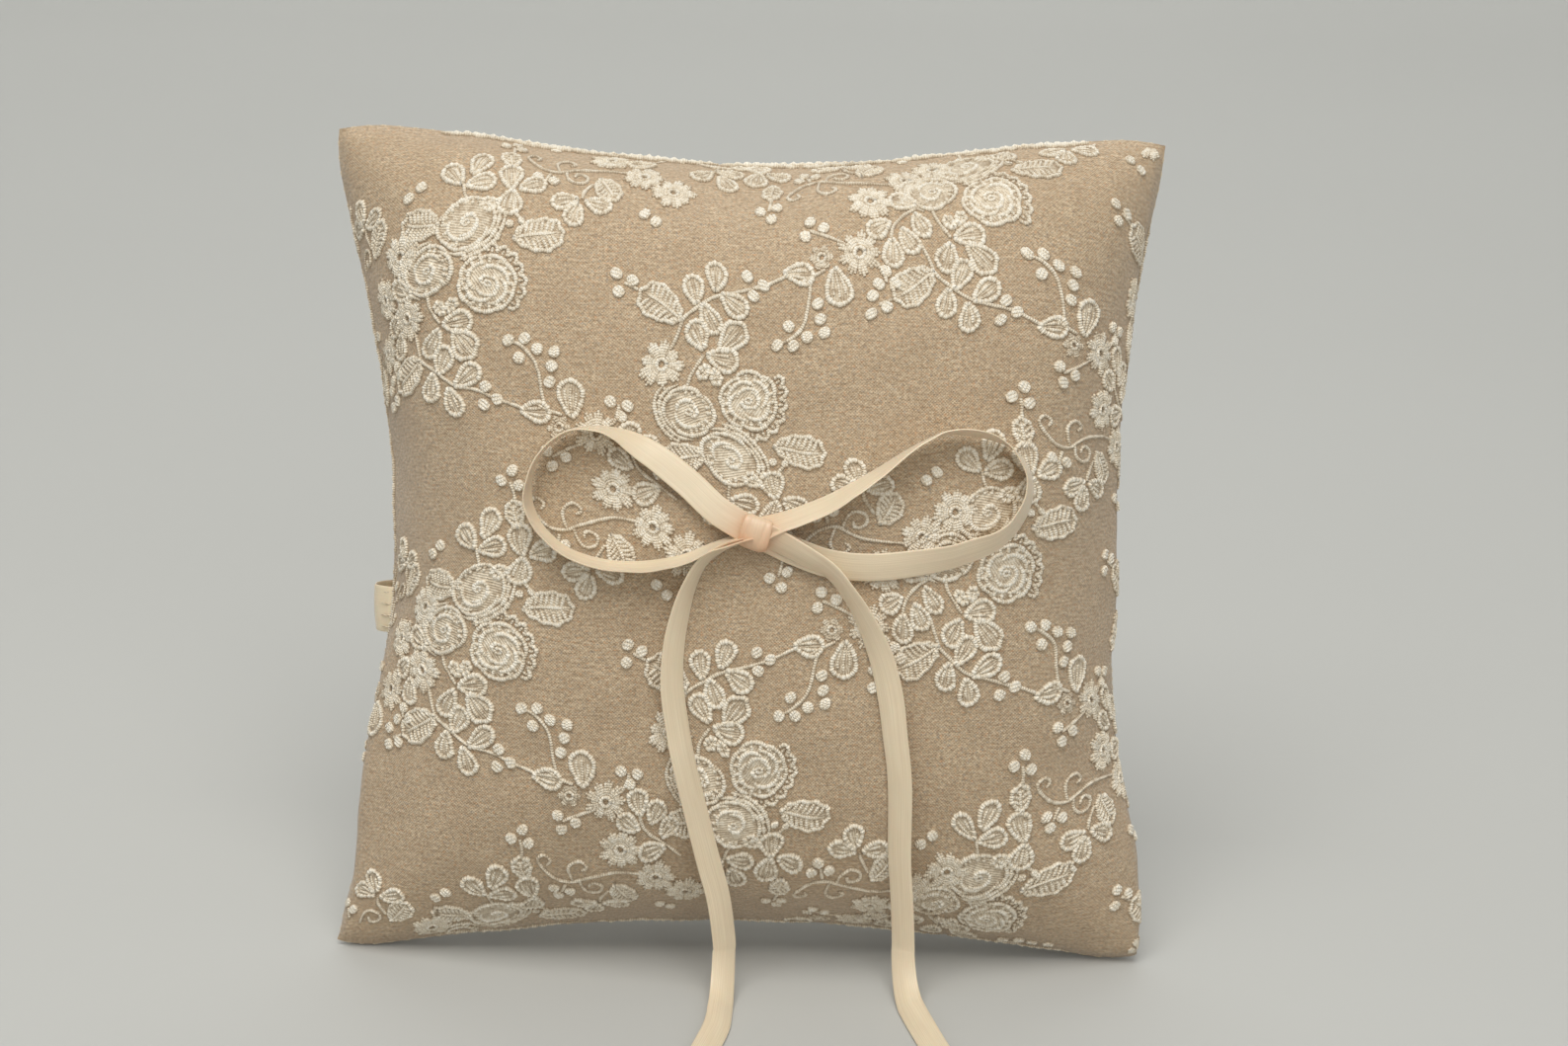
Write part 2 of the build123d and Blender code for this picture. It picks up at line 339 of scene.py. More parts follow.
def finer(sheet, n, side):
    """A finer sheet with the small gathers that the seams pull into the cloth."""
    coarse = Sheet(sheet, side)
    s, t = flat_grid(n)
    height = ripples(s, t, 22, 48, 0.16)
    for flat, along in ((s, t), (t, s)):
        for sign in (-1, 1):
            gap = CLOTH_HALF - sign * flat
            gathers = ripples(along, gap * 0.25, 8, 18, 0.07, 14)
            corner = np.clip((CLOTH_HALF - np.abs(along)) / 12, 0, 1)
            height = height + gathers * np.exp(-gap / 6.5) * corner * np.clip(gap / 2.5, 0, 1)
    height *= np.clip(margin(s, t) / 2.0, 0, 1)
    return Sheet(coarse.raised(s, t, height), side)


front_grid, back_grid = blown(COARSE)
front_grid = swollen(crowned(fitted_outline(front_grid), FRONT_CROWN))
back_grid = crowned(fitted_outline(back_grid), BACK_CROWN, BACK_REST)
front_grid[..., 2] += HALF
back_grid[..., 2] += HALF
FRONT = finer(front_grid, FINE, "front")
BACK = finer(back_grid, FINE, "back")


# ---- mesh helpers


def add_piece(name, points, faces, nodes, material, body="pillow", **values):
    """A mesh object from upright millimetres, riding on a body and standing for CAD nodes."""
    mesh = bpy.data.meshes.new(name)
    placed = world(points)
    placed[:, 2] = np.maximum(placed[:, 2], 0)
    mesh.from_pydata(placed.tolist(), [], [tuple(f) for f in faces])
    mesh.update()
    for key, data in values.items():
        data = np.asarray(data, np.float32)
        kind, field = ("FLOAT_VECTOR", "vector") if data.ndim == 2 else ("FLOAT", "value")
        mesh.attributes.new(key, kind, "POINT").data.foreach_set(field, data.ravel())
    mesh.polygons.foreach_set("use_smooth", [True] * len(mesh.polygons))
    mesh.set_sharp_from_angle(angle=SHARP_ANGLE)
    piece = bpy.data.objects.new(name, mesh)
    bpy.context.scene.collection.objects.link(piece)
    mesh.materials.append(material)
    if body:
        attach(piece, body)
    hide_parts(*nodes)
    return piece


class Bits:
    """Collects many small closed forms, to make one piece of them."""

    def __init__(self):
        self.points, self.faces, self.stitch, self.count = [], [], [], 0

    def add(self, points, faces, stitch=()):
        self.points.append(points)
        self.stitch.append(stitch)
        self.faces.extend([tuple(self.count + k for k in f) for f in faces])
        self.count += len(points)

    def as_thread(self, name, node):
        add_piece(name, np.concatenate(self.points), self.faces, [node], THREAD)

    def as_lace(self, name, node, sheet, press=None):
        """Lays the forms, given as (s, t, height), on a sheet."""
        p = np.concatenate(self.points)
        height = p[:, 2] if press is None else p[:, 2] * press(margin(p[:, 0], p[:, 1]))
        placed = sheet.raised(p[:, 0], p[:, 1], height + 0.02)
        faces = [f[::-1] for f in self.faces] if sheet.side == "back" else self.faces
        add_piece(name, placed, faces, [node], LACE, stitch=np.concatenate(self.stitch), rise=p[:, 2])


def tube_faces(rings, sides, closed=False):
    """Faces of a tube of rings; the points of a ring run round it."""
    faces = []
    for i in range(rings if closed else rings - 1):
        a, b = i * sides, ((i + 1) % rings) * sides
        for k in range(sides):
            m = (k + 1) % sides
            faces.append((a + k, b + k, b + m, a + m))
    if not closed:
        faces.append(tuple(range(sides)))
        faces.append(tuple(range((rings - 1) * sides, rings * sides))[::-1])
    return faces


def smoothed(rows, steps, closed=False):
    """Rows of numbers with Catmull-Rom rows between them."""
    rows = np.asarray(rows, float)
    last = len(rows) - 1
    out = []
    for k in range(last + 1 if closed else last):
        ids = [(k + d) % (last + 1) if closed else min(max(k + d, 0), last) for d in (-1, 0, 1, 2)]
        for step in range(steps):
            w = ease(step / steps)
            out.append(sum(w[m] * rows[ids[m]] for m in range(4)))
    if not closed:
        out.append(rows[last])
    return np.array(out)


# ---- materials


class Flow:
    """A node's output, which can be added to, taken from and multiplied."""

    def __init__(self, nodes, socket):
        self.nodes, self.socket = nodes, socket

    def __add__(self, other):
        return self.nodes.math("ADD", self, other)

    def __sub__(self, other):
        return self.nodes.math("SUBTRACT", self, other)

    def __mul__(self, other):
        return self.nodes.math("MULTIPLY", self, other)


class Nodes:
    """A short way to write a node material."""

    def __init__(self, name):
        self.material = bpy.data.materials.new(name)
        self.material.use_nodes = True
        self.tree = self.material.node_tree

    def put(self, socket, value):
        if isinstance(value, Flow):
            self.tree.links.new(value.socket, socket)
        else:
            socket.default_value = value

    def node(self, kind, inputs, output=0, **settings):
        made = self.tree.nodes.new("ShaderNode" + kind)
        for key, value in settings.items():
            setattr(made, key, value)
        for key, value in inputs.items():
            self.put(made.inputs[key], value)
        return Flow(self, made.outputs[output])

    def math(self, operation, a, b=0.0):
        return self.node("Math", {0: a, 1: b}, operation=operation)

    def wave(self, value, pitch):
        return self.math("SINE", value * (math.tau / pitch))

    def place(self):
        return self.node("TexCoord", {}, "Object")

    def attribute(self, name, output="Vector"):
        return self.node("Attribute", {}, output, attribute_name=name)

    def part(self, vector, axis):
        return self.node("SeparateXYZ", {0: vector}, axis)

    def scaled(self, vector, scale):
        return self.node("VectorMath", {0: vector, 1: scale}, operation="MULTIPLY")

    def noise(self, vector, scale, detail=2.0, rough=0.5):
        """Noise in one scale, or in three to draw it out along an axis."""
        if isinstance(scale, tuple):
            vector, scale = self.scaled(vector, scale), 1.0
        inputs = {"Vector": vector, "Scale": scale, "Detail": detail, "Roughness": rough}
        return self.node("TexNoise", inputs, "Fac")

    def band(self, value, low, high, out_low=0.0, out_high=1.0):
        return self.node("MapRange", {0: value, 1: low, 2: high, 3: out_low, 4: out_high})

    def mix(self, share, a, b, mode="MIX"):
        return self.node("Mix", {0: share, 6: a, 7: b}, 2, data_type="RGBA", blend_type=mode)

    def finish(self, colour, rough, height, distance, sheen=0.0, strength=0.6, **extra):
        bump = self.node("Bump", {"Height": height, "Distance": distance, "Strength": strength})
        inputs = {"Base Color": colour, "Roughness": rough, "Normal": bump, "Sheen Weight": sheen}
        for key, value in {**inputs, **extra}.items():
            self.put(self.tree.nodes["Principled BSDF"].inputs[key], value)
        return self.material


def tone(r, g, b):
    """A linear colour from display values of 0 to 255."""
    out = []
    for v in (r, g, b):
        v /= 255
        out.append(v / 12.92 if v <= 0.04045 else ((v + 0.055) / 1.055) ** 2.4)
    return (*out, 1.0)


def linen():
    """Heathered linen: fine crossing threads, slubs along the weft, and coloured flecks spun in."""
    m = Nodes("linen_weave")
    flat = m.attribute("flat")
    wander = m.noise(flat, (0.9, 0.9, 0.0)) * 0.22
    crossing = m.wave(m.part(flat, 1) + wander, 0.62) * m.wave(m.part(flat, 0) + wander, 0.66)
    slub = m.noise(flat, (0.3, 2.3, 1.0), 4.0, 0.7)
    upright_slub = m.noise(flat, (2.0, 0.6, 1.0), 3.0, 0.6)
    grain = m.noise(flat, (1.4, 1.7, 1.0), 5.0, 0.8)
    mottle = m.noise(flat, (0.11, 0.17, 1.0), 4.0, 0.6)
    colour = m.mix(m.band(slub, 0.36, 0.64), tone(163, 140, 109), tone(209, 188, 156))
    for value, low, high, out_low, out_high, over in (
        (upright_slub, 0.4, 0.66, 0.0, 0.3, tone(172, 148, 120)),
        (grain, 0.34, 0.5, 0.8, 0.0, tone(134, 110, 82)),
        (grain, 0.5, 0.66, 0.0, 0.8, tone(232, 211, 178)),
        (m.noise(flat, (1.3, 2.2, 3.0)), 0.56, 0.68, 0.0, 0.55, tone(204, 150, 104)),
        (m.noise(flat, (1.2, 2.0, 9.0)), 0.58, 0.7, 0.0, 0.55, tone(122, 102, 84)),
        (m.noise(flat, (1.4, 1.9, 17.0)), 0.56, 0.68, 0.0, 0.5, tone(150, 148, 140)),
        (mottle, 0.35, 0.7, 0.0, 0.35, tone(166, 141, 112)),
    ):
        colour = m.mix(m.band(value, low, high, out_low, out_high), colour, over)
    threads = m.band(crossing, -1.0, 1.0, 0.8, 1.16)
    shade = m.node("CombineColor", {0: threads, 1: threads, 2: threads})
    colour = m.mix(1.0, colour, shade, "MULTIPLY")
    height = crossing * 0.7 + slub * 0.4 + grain * 1.2
    rough = m.band(grain, 0.3, 0.7, 0.82, 0.98)
    return m.finish(colour, rough, height, 0.1 * MM, 0.3, **{"Sheen Roughness": 0.5})


def embroidery():
    """Ivory thread in close satin stitches, with painted shade on the low places where the linen shows
    through and painted highlights on its crests.
    """
    m = Nodes("lace_embroidery")
    fuzz = m.noise(m.place(), 1700.0, 3.0, 0.75)
    knots = m.noise(m.place(), 620.0, 3.0, 0.7)
    stitch_pitch = 0.52
    wave = m.math("SINE", m.attribute("stitch", "Fac") * (math.tau / stitch_pitch) + fuzz * 3.0)
    # Thread height plus stitch waves and random fuzz; it paints shade on the low places and highlights on
    # the crests.
    painted_shade_and_fuzz = m.attribute("rise", "Fac") * 1.3 + wave * 0.13
    painted_shade_and_fuzz = painted_shade_and_fuzz + (knots - 0.5) * 1.7 + (fuzz - 0.5) * 0.9
    # Painted shade low down where the linen shows, ivory thread above, and a painted highlight on the
    # crests.
    colour = m.mix(m.band(painted_shade_and_fuzz, 0.02, 0.6), tone(176, 155, 126), tone(232, 218, 192))
    colour = m.mix(m.band(painted_shade_and_fuzz, 0.55, 1.15), colour, tone(252, 245, 228))
    height = wave * 0.8 + fuzz * 1.6 + knots * 1.6
    rough = m.band(wave, -1.0, 1.0, 0.88, 0.7)
    return m.finish(colour, rough, height, 0.14 * MM, 0.2, 0.75)


def satin(name, light, dark, painted_warm_shade):
    """Single-face satin: fine warp lines, a soft gleam, and a painted warm shade and glow where it folds on
    itself.
    """
    m = Nodes(name)
    flat = m.attribute("flat")
    warp = m.noise(flat, (0.03, 6.0, 1.0), 3.0, 0.7)
    slow = m.noise(flat, (0.09, 0.35, 1.0))
    colour = m.mix(m.band(warp, 0.3, 0.7), dark, light)
    colour = m.mix(m.band(slow, 0.3, 0.75, 0.0, 0.4), colour, dark)
    # The third place channel is a share of painted warm shade and glow, put where the ribbon folds round
    # the knot.
    colour = m.mix(m.part(flat, 2) * 0.75, colour, painted_warm_shade)
    height = warp * 1.2 + m.wave(m.part(flat, 0), 0.3) * 0.12
    rough = m.band(warp, 0.3, 0.7, 0.46, 0.3)
    extra = {"Specular IOR Level": 0.6, "Subsurface Weight": 0.1, "Subsurface Scale": 0.0012}
    return m.finish(colour, rough, height, 0.05 * MM, 0.2, 0.35, **extra)


def thread():
    """Matt twisted sewing thread."""
    m = Nodes("sewing_thread")
    inputs = {"Vector": m.place(), "Scale": 900.0, "Distortion": 2.0}
    ply = m.node("TexWave", inputs, "Fac", bands_direction="DIAGONAL")
    colour = m.mix(ply, tone(186, 168, 138), tone(226, 212, 186))
    return m.finish(colour, 0.75, ply + m.noise(m.place(), 1500.0), 0.08 * MM, 0.1)


def fibre():
    """White polyester fibre."""
    m = Nodes("fibre_fill")
    strand = m.noise(m.scaled(m.place(), (1.0, 1.0, 0.2)), 300.0, 5.0, 0.7)
    clump = m.noise(m.place(), 40.0, 3.0)
    colour = m.mix(clump, tone(236, 236, 232), tone(250, 250, 248))
    return m.finish(colour, 0.95, strand + clump, 0.6 * MM, 0.3)


LINEN = linen()
LACE = embroidery()
RIBBON = satin("bow_satin", tone(240, 223, 193), tone(216, 196, 164), tone(212, 158, 116))
STRAP = satin("strap_satin", tone(240, 224, 192), tone(222, 202, 168), tone(230, 190, 150))
THREAD = thread()
FIBRE = fibre()


# ---- panels and filling


def panel(sheet, name, node, thick=0.6):
    """A linen panel with a real thickness, closed round its rim."""
    n = sheet.n
    s, t = flat_grid(n)
    outer = sheet.at(s, t)
    inner = sheet.raised(s, t, -thick * np.clip(margin(s, t) / 3, 0.25, 1))
    points = np.concatenate([outer.reshape(-1, 3), inner.reshape(-1, 3)])
    flip = sheet.side == "back"
    ids = np.arange(n * n).reshape(n, n)
    faces = grid_faces(ids, flip) + grid_faces(ids + n * n, not flip)
    ring = [*ids[:, 0], *ids[-1, 1:], *ids[-2::-1, -1], *ids[0, -2:0:-1]]
    for a, b in zip(ring, ring[1:] + ring[:1]):
        quad = (a, b, b + n * n, a + n * n)
        faces.append(quad if flip else quad[::-1])
    weave = 40.0 if flip else 0.0
    flat = np.stack([s, t, np.full((n, n), weave)], -1).reshape(-1, 3)
    add_piece(name, points, faces, [node], LINEN, flat=np.concatenate([flat, flat]))


def filling(n=61):
    """The fibre, just inside the two panels."""
    s, t = flat_grid(n)
    middle = np.array([0, 0, HALF])
    inner = []
    for sheet in (FRONT, BACK):
        under = sheet.raised(s, t, -np.clip(margin(s, t) / 4, 0, 1))
        inner.append(middle + (under - middle) * 0.988)
    points = np.concatenate([inner[0].reshape(-1, 3), inner[1][1:-1, 1:-1].reshape(-1, 3)])
    add_piece("fibre_stuffing", points, joined_sheets(n)[2], ["fibre_filling"], FIBRE)


panel(FRONT, "front_linen", "front_panel")
panel(BACK, "back_linen", "back_panel")
filling()


# ---- embroidery


def cord(path, radius, closed=False, steps=3, sides=5, high=1.2, taper=0.4, beads=0.12):
    """A stitched cord with a flat underside. Points are (s, t, height)."""
    path = smoothed(path, steps, closed)
    length = np.concatenate([[0], np.cumsum(np.linalg.norm(np.diff(path, axis=0), axis=1))])
    if closed:
        along = unit(np.roll(path, -1, 0) - np.roll(path, 1, 0))
        size = np.full(len(path), float(radius))
    else:
        along = unit(np.gradient(path, axis=0))
        k = np.arange(len(path)) / (len(path) - 1)
        size = radius * (taper + (1 - taper) * np.sqrt(np.clip(np.sin(math.pi * k), 0, 1)))
    size = size * (1 + beads * np.sin(length * math.tau / 1.0) + 0.1 * np.sin(length * 2.3 + radius * 90))
    side = np.stack([-along[:, 1], along[:, 0]], -1)
    angle = np.linspace(0, math.pi, sides)
    rows = path[:, None, :] + side[:, None, :] * (size[:, None] * np.cos(angle))[..., None]
    height = size[:, None] * np.sin(angle) * high
    points = np.concatenate([rows, height[..., None]], -1).reshape(-1, 3)
    return points, tube_faces(len(path), sides, closed), np.repeat(length, sides)


def pad(rim, height, turn=0.0, edge=0.08, rings=(1.0, 0.72, 0.4)):
    """A low filled mound inside a closed outline, with stitches across it at an angle."""
    middle = rim.mean(0)
    count = len(rim)
    rows = [np.column_stack([rim, np.full(count, -0.02)])]
    for share in rings:
        rise = edge + (height - edge) * math.sqrt(1 - share * share)
        rows.append(np.column_stack([middle + (rim - middle) * share, np.full(count, rise)]))
    points = np.concatenate([*rows, [[*middle, height]]])
    faces = [tuple(range(count))[::-1]]
    for k in range(count):
        after = (k + 1) % count
        for a in range(0, len(rings) * count, count):
            faces.append((a + k, a + after, a + count + after, a + count + k))
        faces.append((a + count + k, a + count + after, len(points) - 1))
    stitch = points[:, 0] * math.cos(turn) + points[:, 1] * math.sin(turn)
    return points, faces, stitch


def ellipse(a, b, count, wave=0.0, lobes=0, phase=0.0):
    """An ellipse whose rim may swell into lobes."""
    k = np.arange(count) * math.tau / count
    swell = 1 + wave * np.cos(lobes * k + phase)
    return np.column_stack([a * np.cos(k) * swell, b * np.sin(k) * swell])


def teardrop(length, width, count, blunt, lobes=0.0):
    """A petal outline from its root at -length/2 to its round tip, which may be scalloped."""
    k = np.arange(count) * math.tau / count
    x = -length / 2 * np.cos(k)
    swell = 0.62 + 0.38 * np.sin((x / length) * math.pi * blunt + 0.35)
    rim = np.column_stack([x, -width / 2 * np.sin(k) * swell * 1.15])
    tip = np.clip((x / length + 0.25) * 2, 0, 1)
    return rim * (1 + lobes * tip * np.cos(5 * (k - math.pi)))[:, None]


PETAL_GROWTH = 1.22  # worked petals are this much larger than they are listed


class Element:
    """One embroidered element: its centre, its reach, and its solid forms."""

    def __init__(self, kind, centre, reach):
        self.kind, self.centre, self.reach = kind, np.array(centre, float), reach
        self.solids = []

    def add(self, solid, angle=0.0, raise_by=0.0):
        points, faces, stitch = solid
        c, s = math.cos(angle), math.sin(angle)
        points[:, :2] = points[:, :2] @ np.array([[c, s], [-s, c]]) + self.centre
        points[:, 2] += np.where(points[:, 2] > 0.01, raise_by, 0)
        self.solids.append((points, faces, stitch))

    def cord(self, path, radius, angle=0.0, raise_by=0.0, **how):
        self.add(cord(path, radius, **how), angle, raise_by)

    def rope(self, path, radius, angle=0.0, raise_by=0.0, **how):
        """A cord whose stitches stand out as beads."""
        self.cord(path, radius, angle, raise_by, beads=0.2, **how)


def petal(x, y, degrees, length, width, jagged=False):
    """A plump petal: a thick outline, and satin ribs with slits of linen between them."""
    length, width = length * PETAL_GROWTH, width * PETAL_GROWTH
    e = Element("petals", (x, y), 0.4 * (length + width) / 2)
    angle = math.radians(degrees + rng.uniform(-6, 6))
    rim = teardrop(length * 0.88, width * 0.9, 12, 0.6, 0.02 + 0.05 * jagged)
    e.add(pad(rim, 0.25, math.pi / 2), angle)
    e.rope(rim, 0.56, angle, closed=True, steps=4)
    for spread in (-0.2, 0.01, 0.2) if width > 5.2 else (-0.14, 0.14):
        tip = rng.uniform(0.14, 0.3)
        rib = [(-length * 0.36, width * spread * 0.4), (0, width * spread), (length * tip, width * spread)]
        e.cord(rib, 0.38, angle, 0.1, taper=0.75)
    return e


def berry(x, y, radius=1.3):
    """A round knot of thread, wound about its middle."""
    e = Element("berries", (x, y), radius)
    rim = ellipse(radius, radius * 0.94, 18, 0.02, 3, rng.uniform(0, 6))
    turn = rng.uniform(0, 3)
    e.add(pad(rim, 0.5 * radius, turn, 0.2, (1.0, 0.85, 0.5)))
    for offset in (-0.5, 0.0, 0.48):
        reach = radius * (0.8 - 0.75 * offset**2)
        wrap = [(-reach, offset * radius), (0, offset * radius * 1.15), (reach, offset * radius)]
        e.cord(wrap, 0.36, turn, 0.3 * radius, steps=2, taper=0.6)
    return e


def stem(points):
    """A thin line of stitches."""
    points = np.array(points, float)
    middle = points.mean(0)
    e = Element("stems", middle, 0.5)
    e.cord(points - middle, 0.42, steps=4, taper=0.8)
    return e


def spokes(e, count, inner, outer, size, raise_by=0.06, start=0.0, sweep=math.tau, tilt=0.0):
    """Short satin bars laid out from a middle, a little unevenly."""
    for k in range(count):
        angle = tilt + start + sweep * (k + rng.uniform(-0.18, 0.18)) / count
        reach = outer + rng.uniform(-0.15, 0.1)
        e.cord([(inner, 0), (reach, rng.uniform(-0.2, 0.2))], size, angle, raise_by, taper=0.75)


def daisy(x, y, radius):
    """A small flower: a dark eye in a ring, and thick pointed rays."""
    e = Element("flowers", (x, y), radius * 0.8)
    eye = min(1.05, radius * 0.3)
    e.cord(ellipse(eye, eye, 10), eye * 0.46, 0, 0.12, closed=True, steps=2)
    count = 9 if radius > 3 else 6
    belt = ellipse(radius * 0.58, radius * 0.58, 27, 0.04, count)
    e.cord(belt, radius * 0.2, closed=True, steps=1, high=0.55, beads=0.05)
    for k in range(count):
        middle = math.tau * (k + rng.uniform(-0.12, 0.12)) / count
        tip = radius * rng.uniform(0.92, 1.1)
        for spread, share in ((-0.17, 0.92), (0.0, 1.0), (0.17, 0.9)):
            ray = [(eye * 1.25, 0), ((eye * 1.25 + tip * share) / 2, 0.03), (tip * share, 0)]
            e.rope(ray, 0.1 * radius, middle + spread, 0.06, taper=0.65)
    return e


def round_arc(size, start, sweep, reach, swell=0.0, steps=7, wind=0.0):
    """Points along part of an ellipse; swell pushes the middle of the arc out, wind draws its end in."""
    k = np.linspace(0, 1, steps)
    angle = start + sweep * k
    out = reach + swell * np.sin(math.pi * k) - wind * k
    return np.column_stack([size[0] * out * np.cos(angle), size[1] * out * np.sin(angle)])


def whorl(e, size, count, start, uneven, thick, raise_by, tilt, **arc):
    """A ring of arcs that lap over one another."""
    for k in range(count):
        turn = start + math.tau * (k + rng.uniform(-uneven, uneven)) / count
        e.rope(round_arc(size, turn, **arc), thick, tilt, raise_by)


def heart(e, wide, tall, turn, tilt, thick):
    """The folded middle of a flower: overlapping arcs that wind inwards."""
    for k in range(3):
        start = turn + 2.1 * k + rng.uniform(-0.4, 0.4)
        arc = round_arc((wide, tall), start, 2.9, 0.2 + 0.62 * (1 - k / 3), 0.06, wind=0.16)
        e.rope(arc + rng.uniform(-0.3, 0.3, 2), thick, tilt, 0.14 + 0.05 * k)
    e.cord(ellipse(0.62, 0.5, 8), 0.34, tilt, 0.3, closed=True, steps=2)


def rose(x, y, radius):
    """An open rose: a folded heart, a ring of bars with pits between them, and a frill on one side."""
    e = Element("flowers", (x, y), radius)
    phase = rng.uniform(0, 6)
    e.add(pad(ellipse(radius * 0.88, radius * 0.86, 28, 0.03, 7), 0.36, 0.6))
    outer, inner = (radius, radius * 0.97), (radius, radius * 0.95)
    whorl(e, outer, 6, phase, 0.2, 0.52, 0.05, 0, sweep=1.45, reach=0.87, swell=0.09, wind=0.1)
    spokes(e, 17, radius * 0.62, radius * 0.84, 0.42, 0.08)
    whorl(e, inner, 4, phase + 0.4, 0.25, 0.56, 0.14, 0, sweep=2.0, reach=0.66, swell=0.1, wind=0.22)
    heart(e, radius * 0.5, radius * 0.46, phase, 0.0, 0.52)
    for k in range(9):
        angle = math.radians(-36 + 20 * k)
        bulge = np.array([(-0.3, -1.05), (0.8, -0.85), (1.25, 0), (0.8, 0.85), (-0.3, 1.05)])
        e.rope(bulge + (radius * 1.04, 0), 0.5, angle, 0.02)
        e.cord([(radius * 0.95, 0), (radius * 1.14, 0)], 0.4, angle, 0.05, steps=2)
    return e


def bud(x, y, wide, tall, tilt, turn, petal_side):
    """A half-open bud: a plump body under wrapped petals, with a row of pits along its open side."""
    e = Element("flowers", (x, y), (wide + tall) * 0.44)
    tilt = math.radians(tilt)
    e.add(pad(ellipse(wide * 0.94, tall * 0.94, 28, 0.04, 5), 0.36, 0.9), tilt)
    mean = (wide + tall) / 2
    whorl(e, (wide, tall), 4, turn, 0.2, 0.54, 0.05, tilt, sweep=2.0, reach=0.96, swell=0.1, wind=0.16)
    spokes(e, 10, mean * 0.68, mean * 0.92, 0.44, 0.07, petal_side + 1.6, 3.6, tilt)
    heart(e, wide * 0.74, tall * 0.74, turn, tilt, 0.54)
    for reach, sweep in ((1.17, 2.9), (1.36, 2.0)):
        arc = round_arc((wide, tall), petal_side - sweep / 2, sweep, reach, -0.04, 9)
        e.rope(arc, 0.5, tilt, 0.03)
    spokes(e, 9, mean * 1.1, mean * 1.36, 0.4, 0.05, petal_side - 1.0, 2.2, tilt)
    return e


def leaf(x, y, degrees, length, width, teeth=5, bars=7):
    """A jagged leaf with a midrib and satin bars on both sides of it."""
    e = Element("leaves", (x, y), 0.4 * (length + width) / 2)
    angle = math.radians(degrees)
    rim = teardrop(length * 0.92, width * 0.92, 4 * teeth, 0.3)
    jag = 0.05 * (-1) ** np.arange(len(rim)) + rng.uniform(-0.02, 0.02, len(rim))
    rim = rim * (1 + jag)[:, None]
    e.add(pad(rim * 0.92, 0.26, math.pi / 2.4), angle)
    e.rope(rim, 0.5, angle, closed=True)
    e.cord([(-length * 0.46, 0), (0, width * 0.03), (length * 0.34, 0)], 0.4, angle, 0.16)
    for k in range(bars):
        root = length * (-0.34 + 0.62 * k / (bars - 1))
        reach = width * 0.42 * math.sqrt(max(0.12, 1 - (2 * root / length) ** 2))
        for sign in (-1, 1):
            bar = [(root - 0.5, 0.25 * sign), (root + 0.1, reach * 0.5 * sign), (root + 0.5, sign * reach)]
            e.cord(bar, 0.4, angle, 0.08, steps=2, taper=0.75)
    return e


